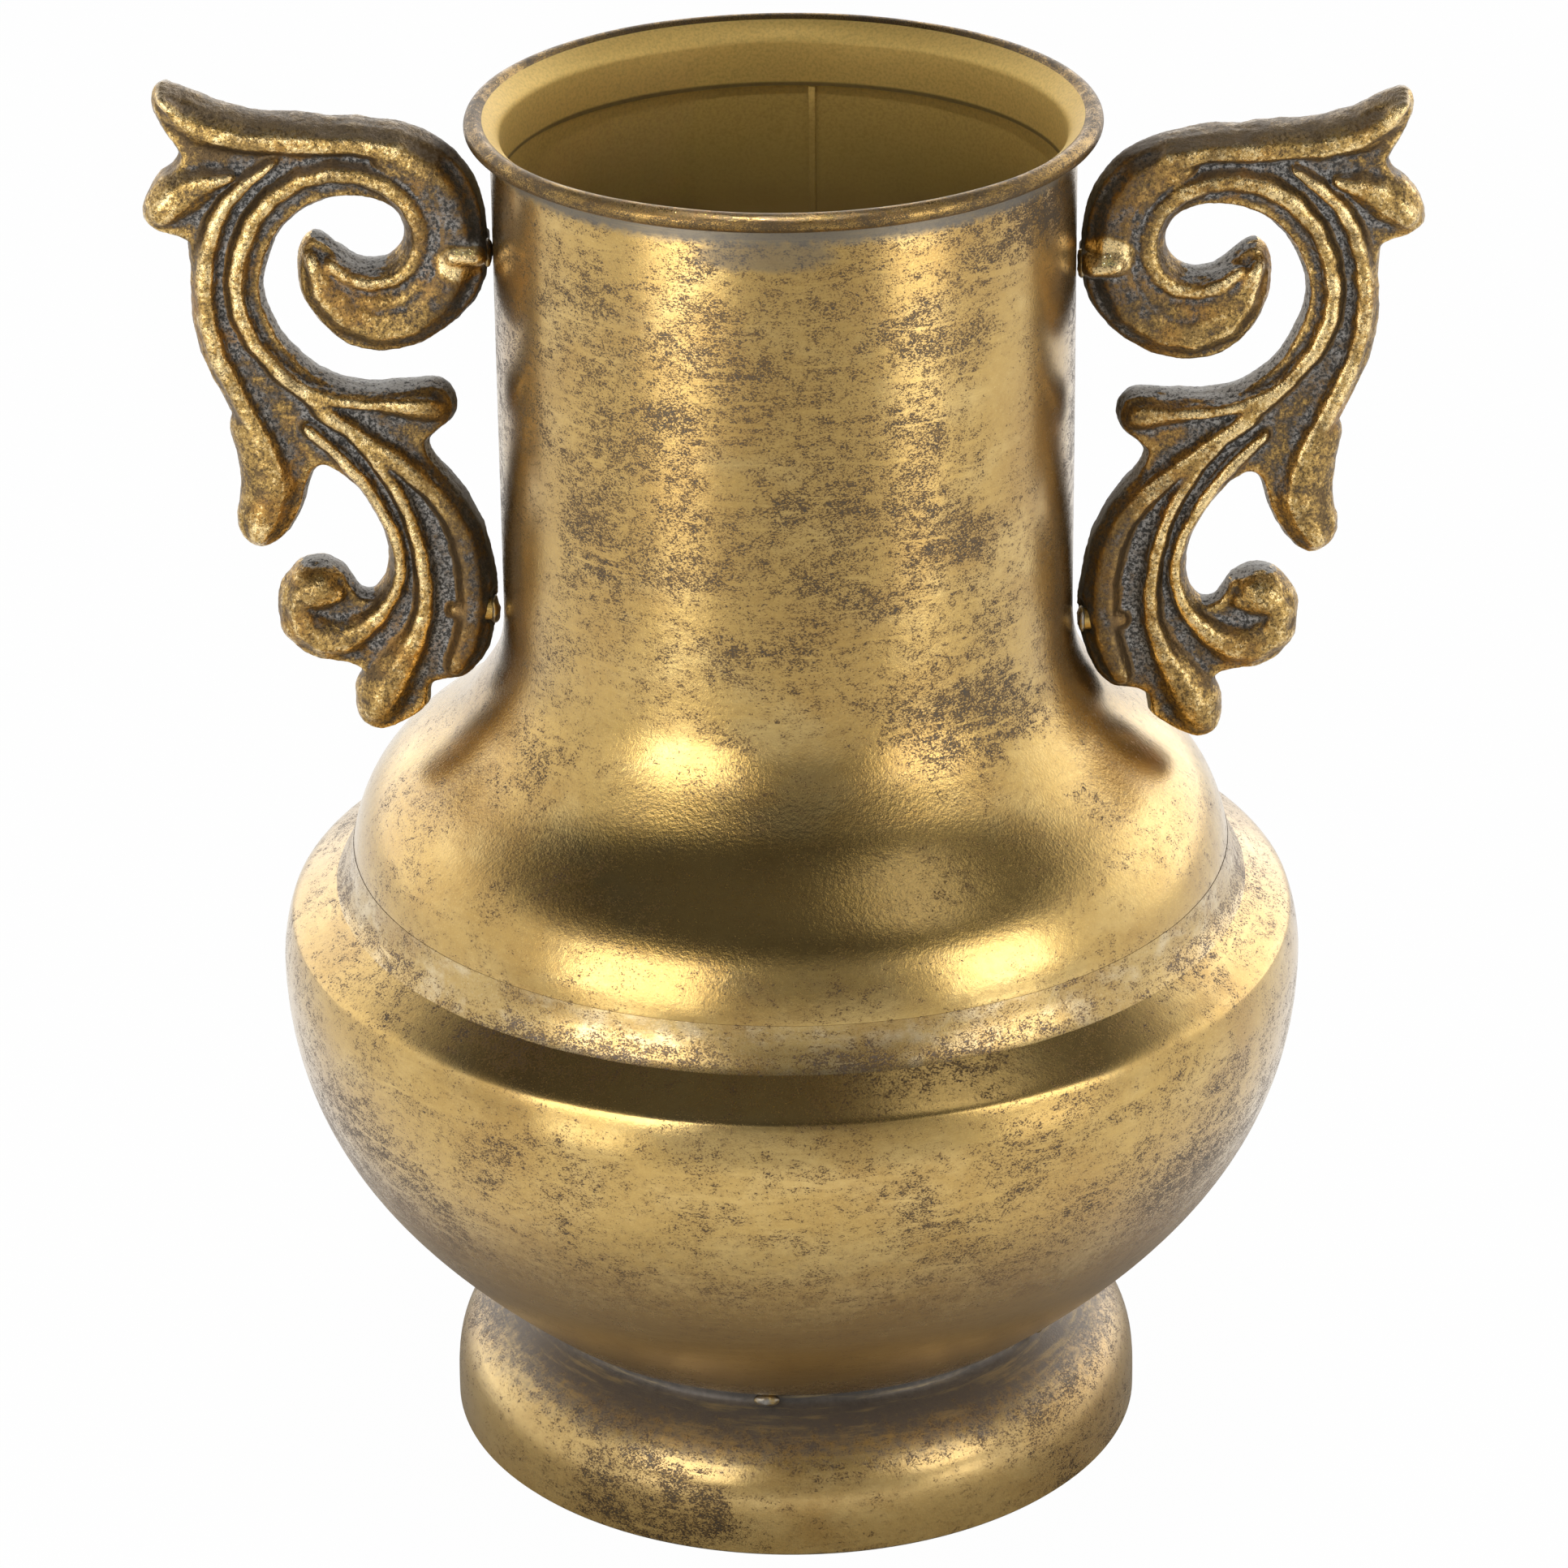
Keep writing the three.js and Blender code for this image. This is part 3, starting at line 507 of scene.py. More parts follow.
# Sandy grey casting with worn gold leaf on everything that stands proud
def castMetal(name, look):
    material, tree, shader, place = newMaterial(name)
    relief = addNode(tree, "ShaderNodeAttribute", attribute_name="relief").outputs["Fac"]
    facing = splitAxes(tree, tree.nodes.new("ShaderNodeNewGeometry").outputs["Normal"])
    axes = splitAxes(tree, place)
    outwards = times(tree, facing["X"], maths(tree, 'SIGN', axes["X"]))
    fromAxis = maths(tree, 'ABSOLUTE', axes["X"])
    wall = ramp(tree, maths(tree, 'ABSOLUTE', facing["Y"]), 0.5, 0.15)
    wobble = minus(tree, noise(tree, place, 260.0, 5.0, 0.65), 0.5)
    speck = minus(tree, noise(tree, place, 1250.0, 2.5, 0.75), 0.5)

    # painted shade: the side at the neck, in the gap between handle and neck, is darkened, but for the knob
    # over the upper pin
    above = times(tree, minus(tree, axes["Z"], look["knobHeight"] * mm), look["knobSquash"])
    away = reachOf(tree, minus(tree, fromAxis, look["knobRadius"] * mm), above)
    knob = ramp(tree, away, look["knobReach"] * mm, 0.6 * look["knobReach"] * mm)
    neckGapShade = ramp(tree, fromAxis, look["neckTo"] * mm, look["neckFrom"] * mm)
    neckGapShade = times(tree, neckGapShade, minus(tree, 1.0, knob))

    # how far gold has stayed on: crests first, side walls last
    level = plus(tree, relief, times(tree, wobble, look["wobble"]))
    level = plus(tree, level, times(tree, speck, look["speck"]))
    level = plus(tree, level, times(tree, knob, look["knobGold"]))
    level = minus(tree, level, times(tree, neckGapShade, look["neckShadeLoss"]))
    crest = ramp(tree, level, look["brownBelow"], look["paleAbove"])
    level = minus(tree, level, times(tree, wall, look["wallLoss"]))
    level = plus(tree, level, ramp(tree, axes["Z"], look["armFrom"] * mm, look["armTo"] * mm, 0.0, 0.9))
    level = plus(tree, level, ramp(tree, outwards, 0.1, 0.7, 0.0, 1.3))
    goldShare = ramp(tree, level, look["bareBelow"], look["goldAbove"])

    cloud = noise(tree, place, 120.0, 5.0, 0.6)
    tint = noise(tree, place, 55.0, 3.0, 0.6)
    fleck = noise(tree, place, 1500.0, 3.0, 0.75)
    gold = blendColours(tree, ramp(tree, crest, 0.0, 0.55), look["brown"], look["gold"])
    gold = blendColours(tree, ramp(tree, tint, 0.5, 0.66, 0.0, 0.6), gold, look["orange"])
    # paler gold on the crests: rubbed gold, partly a painted highlight
    gold = blendColours(tree, ramp(tree, crest, 0.5, 1.0), gold, look["paleGold"])
    gold = blendColours(tree, ramp(tree, cloud, 0.5, 0.72, 0.0, 0.7), gold, look["brown"])
    gold = blendColours(tree, ramp(tree, fleck, 0.5, 0.63, 0.0, 0.75), gold, look["soot"])
    # painted shade: browner gold near the neck
    gold = blendColours(tree, times(tree, neckGapShade, 0.7), gold, look["brown"])
    ashShare = ramp(tree, plus(tree, speck, times(tree, wall, 0.12)), -0.08, 0.14)
    grey = blendColours(tree, ashShare, look["charcoal"], look["ash"])
    # painted shade: charcoal on faces turned to the neck
    neckFacingShade = times(tree, ramp(tree, outwards, -0.1, -0.6, 0.0, 0.9), neckGapShade)
    grey = blendColours(tree, neckFacingShade, grey, look["charcoal"])
    colour = blendColours(tree, goldShare, grey, gold)

    # dust lies on top of the arm
    onArm = ramp(tree, axes["Z"], look["dustFrom"] * mm, look["armFrom"] * mm)
    dusty = times(tree, ramp(tree, plus(tree, facing["Z"], speck), 0.45, 0.9, 0.0, 0.75), onArm)
    colour = blendColours(tree, dusty, colour, look["dust"])
    roughness = blendValues(tree, goldShare, 0.6, ramp(tree, crest, 0.2, 1.0, 0.42, 0.21))
    metallic = blendValues(tree, goldShare, 0.35, ramp(tree, crest, 0.1, 0.6, 0.75, 1.0))
    metallic = blendValues(tree, dusty, metallic, 0.4)
    sandy = times(tree, noise(tree, place, 1400.0, 3.0, 0.65), look["sand"])
    setSurface(tree, shader, colour, roughness, metallic, sandy)
    return material


# Solder and weld metal, partly painted over
def blobMetal(name, look):
    material, tree, shader, place = newMaterial(name)
    cloud = noise(tree, place, 500.0, 5.0, 0.65)
    speck = noise(tree, place, 2200.0, 3.0, 0.7)
    colour = blendColours(tree, ramp(tree, cloud, 0.38, 0.62), look["metal"], look["paint"])
    colour = blendColours(tree, ramp(tree, speck, 0.55, 0.72, 0.0, 0.6), colour, look["dark"])
    roughness = ramp(tree, cloud, 0.3, 0.7, look["roughness"], look["roughness"] + 0.15)
    metallic = ramp(tree, cloud, 0.3, 0.7, 0.8, 1.0)
    setSurface(tree, shader, colour, roughness, metallic, times(tree, speck, 0.06))
    return material


castLook = dict(
    gold=(0.50, 0.318, 0.10, 1), paleGold=(0.94, 0.70, 0.34, 1), brown=(0.14, 0.088, 0.038, 1),
    orange=(0.43, 0.22, 0.05, 1), dust=(0.25, 0.19, 0.125, 1), soot=(0.05, 0.034, 0.018, 1),
    charcoal=(0.045, 0.042, 0.038, 1), ash=(0.43, 0.415, 0.39, 1),
    wobble=1.5, speck=1.3, neckShadeLoss=0.4, wallLoss=1.2, sand=0.2,
    bareBelow=-0.48, goldAbove=0.02, brownBelow=-0.3, paleAbove=0.8,
    neckFrom=66, neckTo=82, armFrom=295, armTo=300, dustFrom=286,
    knobRadius=68, knobHeight=274, knobSquash=1.3, knobReach=6.5, knobGold=0.7,
)
pinMetal = dict(metal=(0.50, 0.32, 0.09, 1), paint=(0.66, 0.45, 0.14, 1), dark=(0.12, 0.08, 0.04, 1),
                roughness=0.25)
tackMetal = dict(metal=(0.32, 0.30, 0.27, 1), paint=(0.45, 0.32, 0.12, 1), dark=(0.1, 0.08, 0.06, 1),
                 roughness=0.3)
wireMetal = dict(metal=(0.35, 0.35, 0.35, 1), paint=(0.42, 0.42, 0.43, 1), dark=(0.2, 0.2, 0.2, 1),
                 roughness=0.35)
castGold = castMetal("castGold", castLook)
brazeGold = goldSheet("brazeGold", brazeLook)
pinGold = blobMetal("pinGold", pinMetal)
weldMetal = blobMetal("weldMetal", tackMetal)
wireSteel = blobMetal("wireSteel", wireMetal)
print("materials made")

# Spun shells: gold outside, and the paint on faces that look at the axis
sheetLook = dict(wall=1.0, sides=180, smoothAngle=40)


def finishShell(piece, gold, slotName, node, angle):
    smoothAll(piece, angle)
    dress(piece, gold, vesselInside)
    for face in piece.data.polygons:
        outward = face.normal.x * face.center.x + face.normal.y * face.center.y
        face.material_index = 1 if outward < 0 else 0
    seat(piece, slotName, node)


# Foot
footSize = dict(radius=77.0, neck=59.5, height=31.5, wall=3.0, turn=(71.3, 21.4), slope=(-1, 1),
                pulls=(9.4, 7.0, 5.0, 2.5), edge=2.0, edgePull=0.45, flange=16.0, hem=5.0, hemEdge=0.6,
                hemTop=1.6)


def makeFoot(size, look):
    radius, neck, top, edge = (size[key] for key in ("radius", "neck", "height", "edge"))
    turn, slope, pulls, hemEdge = (size[key] for key in ("turn", "slope", "pulls", "hemEdge"))
    hemInside, wallTop = radius - size["hem"], size["wall"]
    edgeStart, pulled = top - edge, edge * size["edgePull"]
    outside = joinRuns(
        [(hemInside, size["hemTop"]), (hemInside, hemEdge), (hemInside + hemEdge, 0)],
        [(radius - hemEdge, 0), (radius, hemEdge)],
        bend((radius, wallTop), (radius, wallTop + pulls[0]), along(turn, slope, -pulls[1]), turn, 18),
        bend(turn, along(turn, slope, pulls[2]), (neck, edgeStart - pulls[3]), (neck, edgeStart), 12),
        bend((neck, edgeStart), (neck, top - pulled), (neck - pulled, top), (neck - edge, top), 6),
        [(neck - size["flange"], top)],
    )
    piece = spinSection("footShell", shellOf(outside, look["wall"]), look["sides"])
    finishShell(piece, footGold, "foot_gold", "foot", look["smoothAngle"])


makeFoot(footSize, sheetLook)
print("foot spun")

# Bowl with its belly and sloping ledge
bowlSize = dict(bottom=31.55, bottomRings=(0, 20, 40), flat=54.0, knee=63.25, turn=(71.4, 38.7),
                slope=(1, 0.883), pulls=(35.5, 30.4, 3.2, 3.1, 0.56, 1.55), belly=(111.95, 113.0),
                lip=(110.05, 123.4), lipSlope=(-0.358, 0.934), ledgeEdge=(107.4, 125.75),
                ledgeRings=(3, 6, 9), mouth=(95.7, 132.8), mouthEdge=1.3)


def makeBowl(size, look):
    bottom, turn, belly, mouth = (size[key] for key in ("bottom", "turn", "belly", "mouth"))
    pulls, lip, lipSlope, edge = (size[key] for key in ("pulls", "lip", "lipSlope", "ledgeEdge"))
    ledge = (mouth[0] - edge[0], mouth[1] - edge[1])
    knee = (size["knee"], bottom)
    outside = joinRuns(
        [(radius, bottom) for radius in size["bottomRings"]],
        bend((size["flat"], bottom), knee, knee, turn, 12),
        bend(turn, along(turn, size["slope"], pulls[0]), (belly[0], belly[1] - pulls[1]), belly, 40),
        bend(belly, (belly[0], belly[1] + pulls[2]), along(lip, lipSlope, -pulls[3]), lip, 12),
        bend(lip, along(lip, lipSlope, pulls[4]), along(edge, ledge, -pulls[5]), edge, 8),
        [along(edge, ledge, distance) for distance in size["ledgeRings"]],
        [mouth],
    )
    inside = offsetLine(outside, look["wall"])[:-1]
    inside.append(along(mouth, (0, -1), look["wall"] * size["mouthEdge"]))
    piece = spinSection("bowlShell", outside + inside[::-1], look["sides"])
    finishShell(piece, bodyGold, "body_gold", "bowl", look["smoothAngle"])


makeBowl(bowlSize, sheetLook)
print("bowl spun")

# Shoulder: skirt, upright wall, dome and flare
shoulderSize = dict(radius=95.4, skirt=126.8, mouth=133.0, wallTop=(95.9, 139.5), lean=(-0.2, 1),
                    pulls=(20.0, 16.5, 10.5, 11.0), turn=(69.7, 171.7), slope=(-0.715, 1), neck=61.4,
                    collar=195.1, top=198.8)


def makeShoulder(size, look):
    radius, neck, collar, wallTop = (size[key] for key in ("radius", "neck", "collar", "wallTop"))
    pulls, turn, slope = size["pulls"], size["turn"], size["slope"]
    outside = joinRuns(
        [(radius, size["skirt"]), (radius, size["mouth"])],
        bend(wallTop, along(wallTop, size["lean"], pulls[0]), along(turn, slope, -pulls[1]), turn, 40),
        bend(turn, along(turn, slope, pulls[2]), (neck, collar - pulls[3]), (neck, collar), 20),
        [(neck, size["top"])],
    )
    piece = spinSection("shoulderShell", shellOf(outside, look["wall"]), look["sides"])
    finishShell(piece, bodyGold, "body_gold", "shoulder", look["smoothAngle"])


makeShoulder(shoulderSize, sheetLook)
print("shoulder spun")

# Neck tube
neckSize = dict(radius=61.4, bottom=198.8, top=299.9, rings=24)


def makeNeck(size, look):
    rise = (size["top"] - size["bottom"]) / size["rings"]
    outside = [(size["radius"], size["bottom"] + rise * i) for i in range(size["rings"] + 1)]
    piece = spinSection("neckTube", shellOf(outside, look["wall"]), look["sides"])
    finishShell(piece, bodyGold, "body_gold", "neck_tube", look["smoothAngle"])


makeNeck(neckSize, sheetLook)
print("neck rolled")

# Rim: sleeve inside the neck, flared and rolled outwards into the lip
rimSize = dict(centre=(64.7, 303.12), roll=2.05, wall=0.8, sleeve=59.3, sleeveBottom=290.4, sleeveRing=295,
               flareStart=299.9, pull=1.8, rollStart=125, rollEnd=-140, rollSteps=22, smoothAngle=50,
               waveSize=40, waves=0.25, painted=302.6, paintEdge=63.1)


def makeRim(size, look):
    centreRadius, centreHeight = size["centre"]
    turned = (size["rollEnd"] - size["rollStart"]) / size["rollSteps"]
    turns = [math.radians(size["rollStart"] + turned * i) for i in range(size["rollSteps"] + 1)]
    roll = [(centreRadius + size["roll"] * math.cos(turn), centreHeight + size["roll"] * math.sin(turn))
            for turn in turns]
    heading = (math.sin(turns[0]), -math.cos(turns[0]))
    start = (size["sleeve"], size["flareStart"])
    visible = joinRuns(  # walked with the metal on its right
        [(size["sleeve"], size["sleeveBottom"]), (size["sleeve"], size["sleeveRing"])],
        bend(start, (start[0], start[1] + size["pull"]), along(roll[0], heading, -size["pull"]), roll[0], 8),
        roll,
    )
    piece = spinSection("rolledRim", shellOf(visible, -size["wall"]), look["sides"])
    roughen(piece, "rimWaves", size["waveSize"], 1, size["waves"])
    finishShell(piece, rimGold, "rim_gold", "rim_collar", size["smoothAngle"])
    for face in piece.data.polygons:  # the paint stops where the roll begins
        outer = math.hypot(face.center.x, face.center.y) > size["paintEdge"] * mm
        if face.center.z > size["painted"] * mm and outer:
            face.material_index = 0


makeRim(rimSize, sheetLook)
print("lip rolled")

# Braze fillet softening the groove between the ledge and the shoulder
brazeSize = dict(corner=(95.6, 132.8), rootDepth=0.3, slope=(12.3, -8.4), wide=7.8, pull=0.6,
                 wallTop=(95.95, 139.6), lean=(-0.2, 1), steps=16, lumpSize=12, lumps=0.12, smoothAngle=60)


def makeBraze(size, look):
    onLedge, onWall = along(size["corner"], size["slope"], size["wide"]), size["wallTop"]
    pull = -size["pull"] * size["wide"]
    hollow = bend(onLedge, along(onLedge, size["slope"], pull), along(onWall, size["lean"], pull), onWall,
                  size["steps"])
    section = joinRuns([along(size["corner"], (-1, -1), size["rootDepth"])], hollow)
    piece = spinSection("grooveBraze", section, look["sides"])
    roughen(piece, "brazeLumps", size["lumpSize"], 1, size["lumps"])
    smoothAll(piece, size["smoothAngle"])
    dress(piece, brazeGold)
    seat(piece, "braze", "shoulder_braze")


makeBraze(brazeSize, sheetLook)
print("groove filled")


# Small rods, blobs and strips, each placed in the box of its node
def boxOf(node):
    low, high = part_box(node)
    return (low + high) / 2, high - low


def bakePlace(piece):
    pick(piece)
    bpy.ops.object.transform_apply(location=True, rotation=True, scale=True)


pinLook = dict(sides=28, rings=7, slimmer=0.2, edge=0.7, segments=3, lumpSize=3.0, lumps=0.5, smoothAngle=60,
               trim=dict(upper=0.0, lower=3.0))


def makePin(node, look, trim):
    centre, size = boxOf(node)
    size.x -= trim * mm
    centre.x -= math.copysign(trim / 2 * mm, centre.x)
    radius = size.z / 2 - look["slimmer"] * mm
    deselectAll()
    bpy.ops.mesh.primitive_cylinder_add(vertices=look["sides"], radius=radius, depth=size.x,
                                        location=centre, rotation=(0, math.pi / 2, 0))
    piece = bpy.context.object
    piece.name = node.replace("_", "")
    bakePlace(piece)
    applyModifier(piece, 'BEVEL', "edge", width=look["edge"] * mm, segments=look["segments"])
    subdivideAll(piece, look["rings"])
    roughen(piece, piece.name + "Lumps", look["lumpSize"], 2, look["lumps"])
    smoothAll(piece, look["smoothAngle"])
    dress(piece, pinGold)
    seat(piece, "pin_gold", node)


# Welds are shares of their node's box, tacks are sizes in millimetres
weldLook = dict(cuts=5, lumpSize=3.2, lumps=1.3, shrink=0.94, smoothAngle=60, share=(1.6, 0.8, 0.8))
tackLook = dict(weldLook, lumps=0.7, size=(3.0, 6.0, 3.0), count=5)


def makeBlob(node, look, turn, blobSize):
    centre = boxOf(node)[0]
    deselectAll()
    bpy.ops.mesh.primitive_ico_sphere_add(subdivisions=look["cuts"], radius=0.5 * mm, location=centre,
                                          rotation=(0, 0, turn))
    piece = bpy.context.object
    piece.name = node.replace("_", "")
    piece.scale = Vector(blobSize) * look["shrink"]
    bakePlace(piece)
    roughen(piece, piece.name + "Lumps", look["lumpSize"], 2, look["lumps"])
    smoothAll(piece, look["smoothAngle"])
    dress(piece, weldMetal)
    seat(piece, "braze", node)


for side in ("left", "right"):
    for level in ("upper", "lower"):
        makePin(side + "_" + level + "_pin", pinLook, pinLook["trim"][level])
        weldNode = side + "_" + level + "_weld"
        weldBox = boxOf(weldNode)[1] / mm
        weldSize = [length * share for length, share in zip(weldBox, weldLook["share"])]
        makeBlob(weldNode, weldLook, 0, weldSize)
for number in range(1, tackLook["count"] + 1):
    tackNode = "foot_tack_" + str(number)
    tackPlace = boxOf(tackNode)[0]
    makeBlob(tackNode, tackLook, math.atan2(tackPlace.y, tackPlace.x), tackLook["size"])
print("pins, welds and tacks set")

seamSize = dict(width=1.6, thick=0.34, edge=0.15, cuts=12, lumpSize=12, lumps=0.2, smoothAngle=50)


def makeSeam(size):
    centre, box = boxOf("neck_seam")
    deselectAll()
    turn = math.atan2(centre.y, centre.x)
    bpy.ops.mesh.primitive_cube_add(size=mm, location=centre, rotation=(0, 0, turn))
    piece = bpy.context.object
    piece.name = "neckSeam"
    piece.scale = (size["thick"], size["width"], box.z / mm)
    bakePlace(piece)
    applyModifier(piece, 'BEVEL', "edge", width=size["edge"] * mm, segments=2)
    subdivideAll(piece, size["cuts"])
    roughen(piece, "seamLumps", size["lumpSize"], 1, size["lumps"])
    smoothAll(piece, size["smoothAngle"])
    dress(piece, vesselInside)
    seat(piece, "braze", "neck_seam")


makeSeam(seamSize)

wireSize = dict(radius=64.7, height=303.12, wire=0.95, sides=96, wireSides=12, lumpSize=15, lumps=0.1,
                smoothAngle=60)


def makeWire(size):
    deselectAll()
    bpy.ops.mesh.primitive_torus_add(major_segments=size["sides"], minor_segments=size["wireSides"],
                                     major_radius=size["radius"] * mm, minor_radius=size["wire"] * mm,
                                     location=(0, 0, size["height"] * mm))
    piece = bpy.context.object
    piece.name = "rimWire"
    bakePlace(piece)
    roughen(piece, "wireDraw", size["lumpSize"], 1, size["lumps"])
    smoothAll(piece, size["smoothAngle"])
    dress(piece, wireSteel)
    seat(piece, "wire_steel", "rim_wire")


makeWire(wireSize)
print("seam and wire laid")

# Cast handles: the plate and its ribs recast as one skin, softened, then given sand grain
handleLook = dict(voxel=0.55, soften=7, lumpSize=9.0, lumps=0.9, sandSize=1.1, sand=0.26, reliefRounds=70,
                  merge=0.005, rubbed=0.02, neck=62.1, lowerPin=dict(right=190.07, left=193.77), spacing=1.2)
# Full forms between and over the ribs: distance from the neck, height above the lower pin,
# half width and half depth
swells = dict(
    curlBack=[(22, 102.4, 2.6, 6.5), (14.6, 98.6, 4.4, 6.7), (10.9, 92.6, 5.2, 6.7), (10.4, 86.2, 5.2, 6.7),
              (11.4, 80.4, 5.0, 6.7), (14.0, 75.2, 4.8, 6.7), (18.2, 71.9, 4.6, 6.7), (23.2, 70.9, 4.6, 6.7),
              (28.4, 72.3, 4.4, 6.7), (32.6, 76.0, 3.4, 6.5)],
    ball=[(40.2, 5.2, 5.8, 7.8), (38.8, 5.4, 5.8, 7.8)],
    ballStem=[(27.4, -2.0, 4.0, 6.6), (32.2, -5.4, 5.4, 6.8), (37.6, -6.2, 5.8, 6.9), (42.4, -3.2, 5.4, 6.9)],
    spur=[(52.0, 42.0, 4.6, 6.6), (49.2, 35.0, 6.0, 6.9), (47.8, 29.0, 7.0, 7.2), (49.2, 23.4, 6.2, 7.2),
          (50.4, 20.4, 4.8, 6.8)],
    lowerLeaf=[(19.6, -8.6, 5.0, 6.6), (23.4, -15.4, 6.6, 7.0), (25.8, -20.2, 6.4, 7.2),
               (27.0, -23.0, 4.8, 6.8)],
    bud=[(22.0, 48.0, 3.4, 6.6), (14.6, 47.4, 4.4, 7.0), (12.6, 47.0, 4.0, 6.8)],
    tip=[(64.4, 113.0, 3.8, 6.4), (59.0, 109.8, 5.0, 6.9), (50.0, 107.6, 4.6, 6.8), (36.0, 106.8, 4.3, 6.8)],
    lobe=[(58.0, 98.4, 4.4, 6.6), (64.2, 94.8, 5.8, 7.2), (67.0, 92.4, 4.8, 7.0)],
    upperBoss=[(2.6, 81.8, 3.6, 9.2), (7.2, 82.2, 3.6, 9.4)],
    lowerBoss=[(5.0, 0.4, 3.4, 7.4), (9.4, 0.4, 3.0, 6.2)],
)


def readPlaces(mesh, what):
    values = np.empty(len(mesh.vertices) * 3)
    mesh.vertices.foreach_get(what, values)
    return values.reshape(-1, 3)


# How far each point stands proud of its softened surroundings, in millimetres
def measureRelief(piece, rounds):
    places = readPlaces(piece.data, "co")
    normals = readPlaces(piece.data, "normal")
    soft = piece.copy()
    soft.data = piece.data.copy()
    bpy.context.collection.objects.link(soft)
    applyModifier(soft, 'SMOOTH', "softer", factor=0.5, iterations=rounds)
    proud = ((places - readPlaces(soft.data, "co")) * normals).sum(axis=1) / mm
    bpy.data.objects.remove(soft)
    layer = piece.data.attributes.new("relief", 'FLOAT', 'POINT')
    layer.data.foreach_set("value", proud.astype(np.float32))
    print("relief from", round(float(proud.min()), 2), "to", round(float(proud.max()), 2))


def addSwells(side, look):
    mirror = 1 if side == "right" else -1
    base = look["lowerPin"][side]
    rounds = []
    for line in swells.values():
        for start, end in zip(line, line[1:]):
            steps = max(1, round(math.dist(start[:2], end[:2]) / look["spacing"]))
            for i in range(steps + 1):
                out, up, half, deep = (a + (b - a) * i / steps for a, b in zip(start, end))
                place = (mirror * (look["neck"] + out) * mm, 0, (base + up) * mm)
                bpy.ops.mesh.primitive_ico_sphere_add(subdivisions=3, radius=mm, location=place,
                                                      scale=(half, deep, half))
                rounds.append(bpy.context.object)
    return rounds


# Lumps that reach past the casting's own length or height are rubbed down
def keepInside(piece, node, margin):
    low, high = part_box(node)
    places = readPlaces(piece.data, "co")
    for axis in (0, 2):
        places[:, axis] = np.clip(places[:, axis], low[axis] + margin, high[axis] - margin)
    piece.data.vertices.foreach_set("co", places.ravel())
    piece.data.update()


def makeHandle(side, look):
    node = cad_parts[side + "_handle"]
    deselectAll()
    rounds = addSwells(side, look)
    piece = bpy.data.objects.new(side + "Scroll", node.data.copy())
    bpy.context.collection.objects.link(piece)
    piece.data.transform(node.matrix_world)
    pick(piece)
    for swell in rounds:
        swell.select_set(True)
    bpy.ops.object.join()
    bpy.ops.object.mode_set(mode='EDIT')
    bpy.ops.mesh.select_all(action='SELECT')
    bpy.ops.mesh.remove_doubles(threshold=look["merge"] * mm)
    bpy.ops.object.mode_set(mode='OBJECT')
    applyModifier(piece, 'REMESH', "recast", mode='VOXEL', voxel_size=look["voxel"] * mm)
    applyModifier(piece, 'SMOOTH', "fettled", factor=0.5, iterations=look["soften"])
    roughen(piece, side + "Lumps", look["lumpSize"], 2, look["lumps"])
    measureRelief(piece, look["reliefRounds"])
    roughen(piece, side + "Sand", look["sandSize"], 2, look["sand"])
    keepInside(piece, side + "_handle", look["rubbed"] * mm)
    pick(piece)
    bpy.ops.object.shade_smooth()
    dress(piece, castGold)
    seat(piece, "cast_handle", side + "_handle")
    print(side, "handle cast,", len(piece.data.polygons), "faces")


for side in ("left", "right"):
    makeHandle(side, handleLook)

# Camera at the photograph's place: millimetres and radians
cameraLook = dict(distance=1213.12, height=715.10, pitch=0.4360, roll=-0.0106, yaw=-0.0011, lens=140.24,
                  sensor=36.0, clipEnd=20.0)


def makeCamera(look):
    data = bpy.data.cameras.new("photoCamera")
    data.sensor_width = look["sensor"]
    data.lens = look["lens"]
    data.clip_end = look["clipEnd"]
    camera = bpy.data.objects.new("photoCamera", data)
    bpy.context.collection.objects.link(camera)
    cosPitch, sinPitch = math.cos(look["pitch"]), math.sin(look["pitch"])
    ahead = Vector((math.sin(look["yaw"]) * cosPitch, math.cos(look["yaw"]) * cosPitch, -sinPitch))
    side = Vector((math.cos(look["yaw"]), -math.sin(look["yaw"]), 0))
    up = side.cross(ahead)
    right = math.cos(look["roll"]) * side + math.sin(look["roll"]) * up
    top = -math.sin(look["roll"]) * side + math.cos(look["roll"]) * up
    camera.matrix_world = Matrix((
        (right.x, top.x, -ahead.x, 0),
        (right.y, top.y, -ahead.y, -look["distance"] * mm),
        (right.z, top.z, -ahead.z, look["height"] * mm),
        (0, 0, 0, 1),
    ))
    bpy.context.scene.camera = camera


makeCamera(cameraLook)

# Floor: white to the camera and in the metal, but for the shade round the foot (all in metres)
floorLook = dict(size=12.0, tone=(0.85, 0.85, 0.84, 1), shade=(0.4, 0.4, 0.39, 1), shown=0.985, mirrored=1.0,
                 shadeFrom=0.075, shadeTo=0.14, litFrom=0.14, litTo=0.27, besideFrom=0.06, besideTo=0.16,
                 besideLoss=0.06, frontFrom=-0.55, frontTo=-0.25, frontLit=0.3)


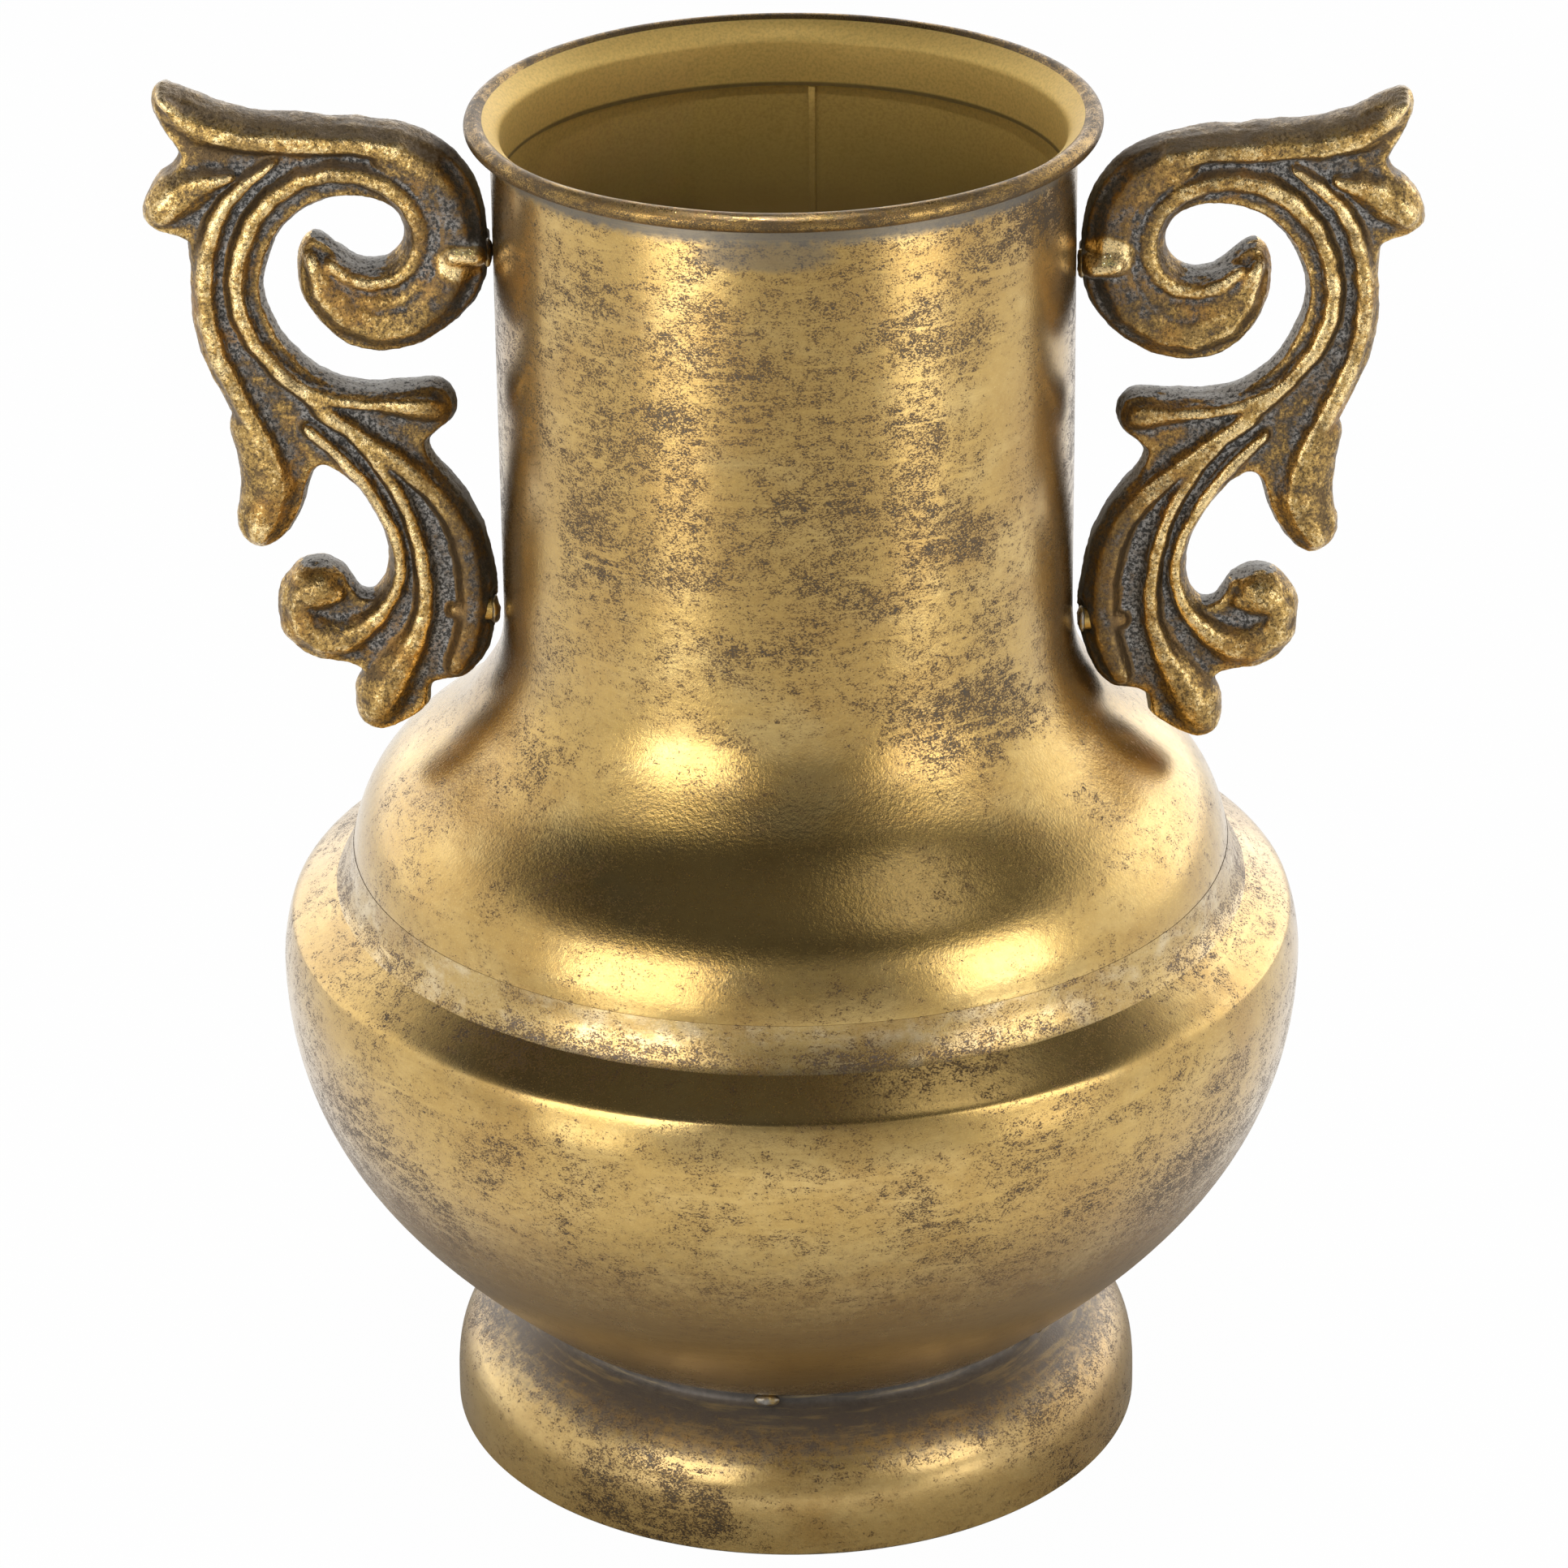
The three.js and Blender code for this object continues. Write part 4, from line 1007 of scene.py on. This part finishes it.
def makeFloor(look):
    deselectAll()
    bpy.ops.mesh.primitive_plane_add(size=look["size"])
    floor = bpy.context.object
    floor.name = "paleFloor"
    material = bpy.data.materials.new("paleFloor")
    material.use_nodes = True
    tree = material.node_tree
    tree.nodes.clear()
    path = tree.nodes.new("ShaderNodeLightPath").outputs
    axes = splitAxes(tree, tree.nodes.new("ShaderNodeTexCoord").outputs["Object"])
    reach = reachOf(tree, axes["X"], axes["Y"])
    unshaded = ramp(tree, reach, look["shadeFrom"], look["shadeTo"])
    tone = blendColours(tree, unshaded, look["shade"], look["tone"])
    diffuse = addNode(tree, "ShaderNodeBsdfDiffuse", {"Color": tone})
    glow = addNode(tree, "ShaderNodeEmission", {"Color": (1, 1, 1, 1), "Strength": 1.0})
    beside = ramp(tree, maths(tree, 'ABSOLUTE', axes["X"]), look["besideFrom"], look["besideTo"], 0.0,
                  look["besideLoss"])
    lit = ramp(tree, plus(tree, reach, beside), look["litFrom"], look["litTo"])
    front = ramp(tree, axes["Y"], look["frontFrom"], look["frontTo"], look["frontLit"], look["mirrored"])
    lit = times(tree, times(tree, lit, front), path["Is Glossy Ray"])
    share = maths(tree, 'MAXIMUM', times(tree, path["Is Camera Ray"], look["shown"]), lit)
    mixed = addNode(tree, "ShaderNodeMixShader", {0: share, 1: diffuse.outputs[0], 2: glow.outputs[0]})
    result = tree.nodes.new("ShaderNodeOutputMaterial")
    tree.links.new(mixed.outputs[0], result.inputs["Surface"])
    floor.data.materials.append(material)


# Lamps: height aimed at, degrees round from the camera's side and up, distance, size and radiance
lamps = dict(
    leftSoftbox=dict(aim=0.17, around=-36.5, up=13.5, distance=0.42, size=(0.235, 0.23), radiance=3.2),
    rightSoftbox=dict(aim=0.17, around=49, up=13.5, distance=0.42, size=(0.19, 0.225), radiance=2.4),
    leftStrip=dict(aim=0.06, around=-40, up=0, distance=0.55, size=(0.17, 0.11), radiance=1.75),
    rightStrip=dict(aim=0.06, around=50, up=0, distance=0.55, size=(0.17, 0.11), radiance=1.45),
    topCard=dict(aim=0.17, around=58, up=62, distance=1.1, size=(0.24, 0.34), radiance=1.05),
    glowCard=dict(aim=0.17, around=85, up=69, distance=1.1, size=(0.26, 0.34), radiance=0.75),
    mouthSnoot=dict(aim=0.27, around=-8, up=66, distance=1.2, size=(0.05, 0.05), radiance=13.0, spread=5),
)


def makeLamp(name, aim, around, up, distance, size, radiance, spread=180):
    data = bpy.data.lights.new(name, 'AREA')
    data.shape = 'RECTANGLE'
    data.size, data.size_y = size
    data.energy = radiance * math.pi * size[0] * size[1]
    data.spread = math.radians(spread)
    lamp = bpy.data.objects.new(name, data)
    bpy.context.collection.objects.link(lamp)
    turned, raised = math.radians(around), math.radians(up)
    level = math.cos(raised)
    toLamp = Vector((math.sin(turned) * level, -math.cos(turned) * level, math.sin(raised)))
    lamp.location = Vector((0, 0, aim)) + toLamp * distance
    lamp.rotation_euler = toLamp.to_track_quat('Z', 'Y').to_euler()
    lamp.visible_camera = False


# World: where the light changes along an axis, and what it changes from and to
worldLook = dict(high=(0.5, 0.78), side=(-0.95, -0.3), back=(0.0, 0.6), sideLight=0.97,
                 frontLight=(0.05, 0.3, 0.5, 0.24), backLight=(-0.7, 0.7, 1.7, 2.3),
                 topLight=(0.82, 0.97, 0.045, 0.1))


def makeWorld(look):
    world = bpy.data.worlds.new("studio")
    bpy.context.scene.world = world
    world.use_nodes = True
    tree = world.node_tree
    tree.nodes.clear()
    axes = splitAxes(tree, tree.nodes.new("ShaderNodeTexCoord").outputs["Generated"])
    front = ramp(tree, axes["Z"], *look["frontLight"])
    light = blendValues(tree, ramp(tree, axes["Y"], *look["side"]), front, look["sideLight"])
    behind = ramp(tree, axes["X"], *look["backLight"])
    light = blendValues(tree, ramp(tree, axes["Y"], *look["back"]), light, behind)
    overhead = ramp(tree, axes["Z"], *look["topLight"])
    light = blendValues(tree, ramp(tree, axes["Z"], *look["high"]), light, overhead)
    path = tree.nodes.new("ShaderNodeLightPath").outputs
    light = maths(tree, 'MAXIMUM', light, path["Is Camera Ray"])
    background = addNode(tree, "ShaderNodeBackground", {"Color": (1, 1, 1, 1), "Strength": light})
    result = tree.nodes.new("ShaderNodeOutputWorld")
    tree.links.new(background.outputs[0], result.inputs["Surface"])


makeFloor(floorLook)
for name, lamp in lamps.items():
    makeLamp(name, **lamp)
makeWorld(worldLook)
bpy.context.scene.view_settings.view_transform = 'Standard'
print("studio set")
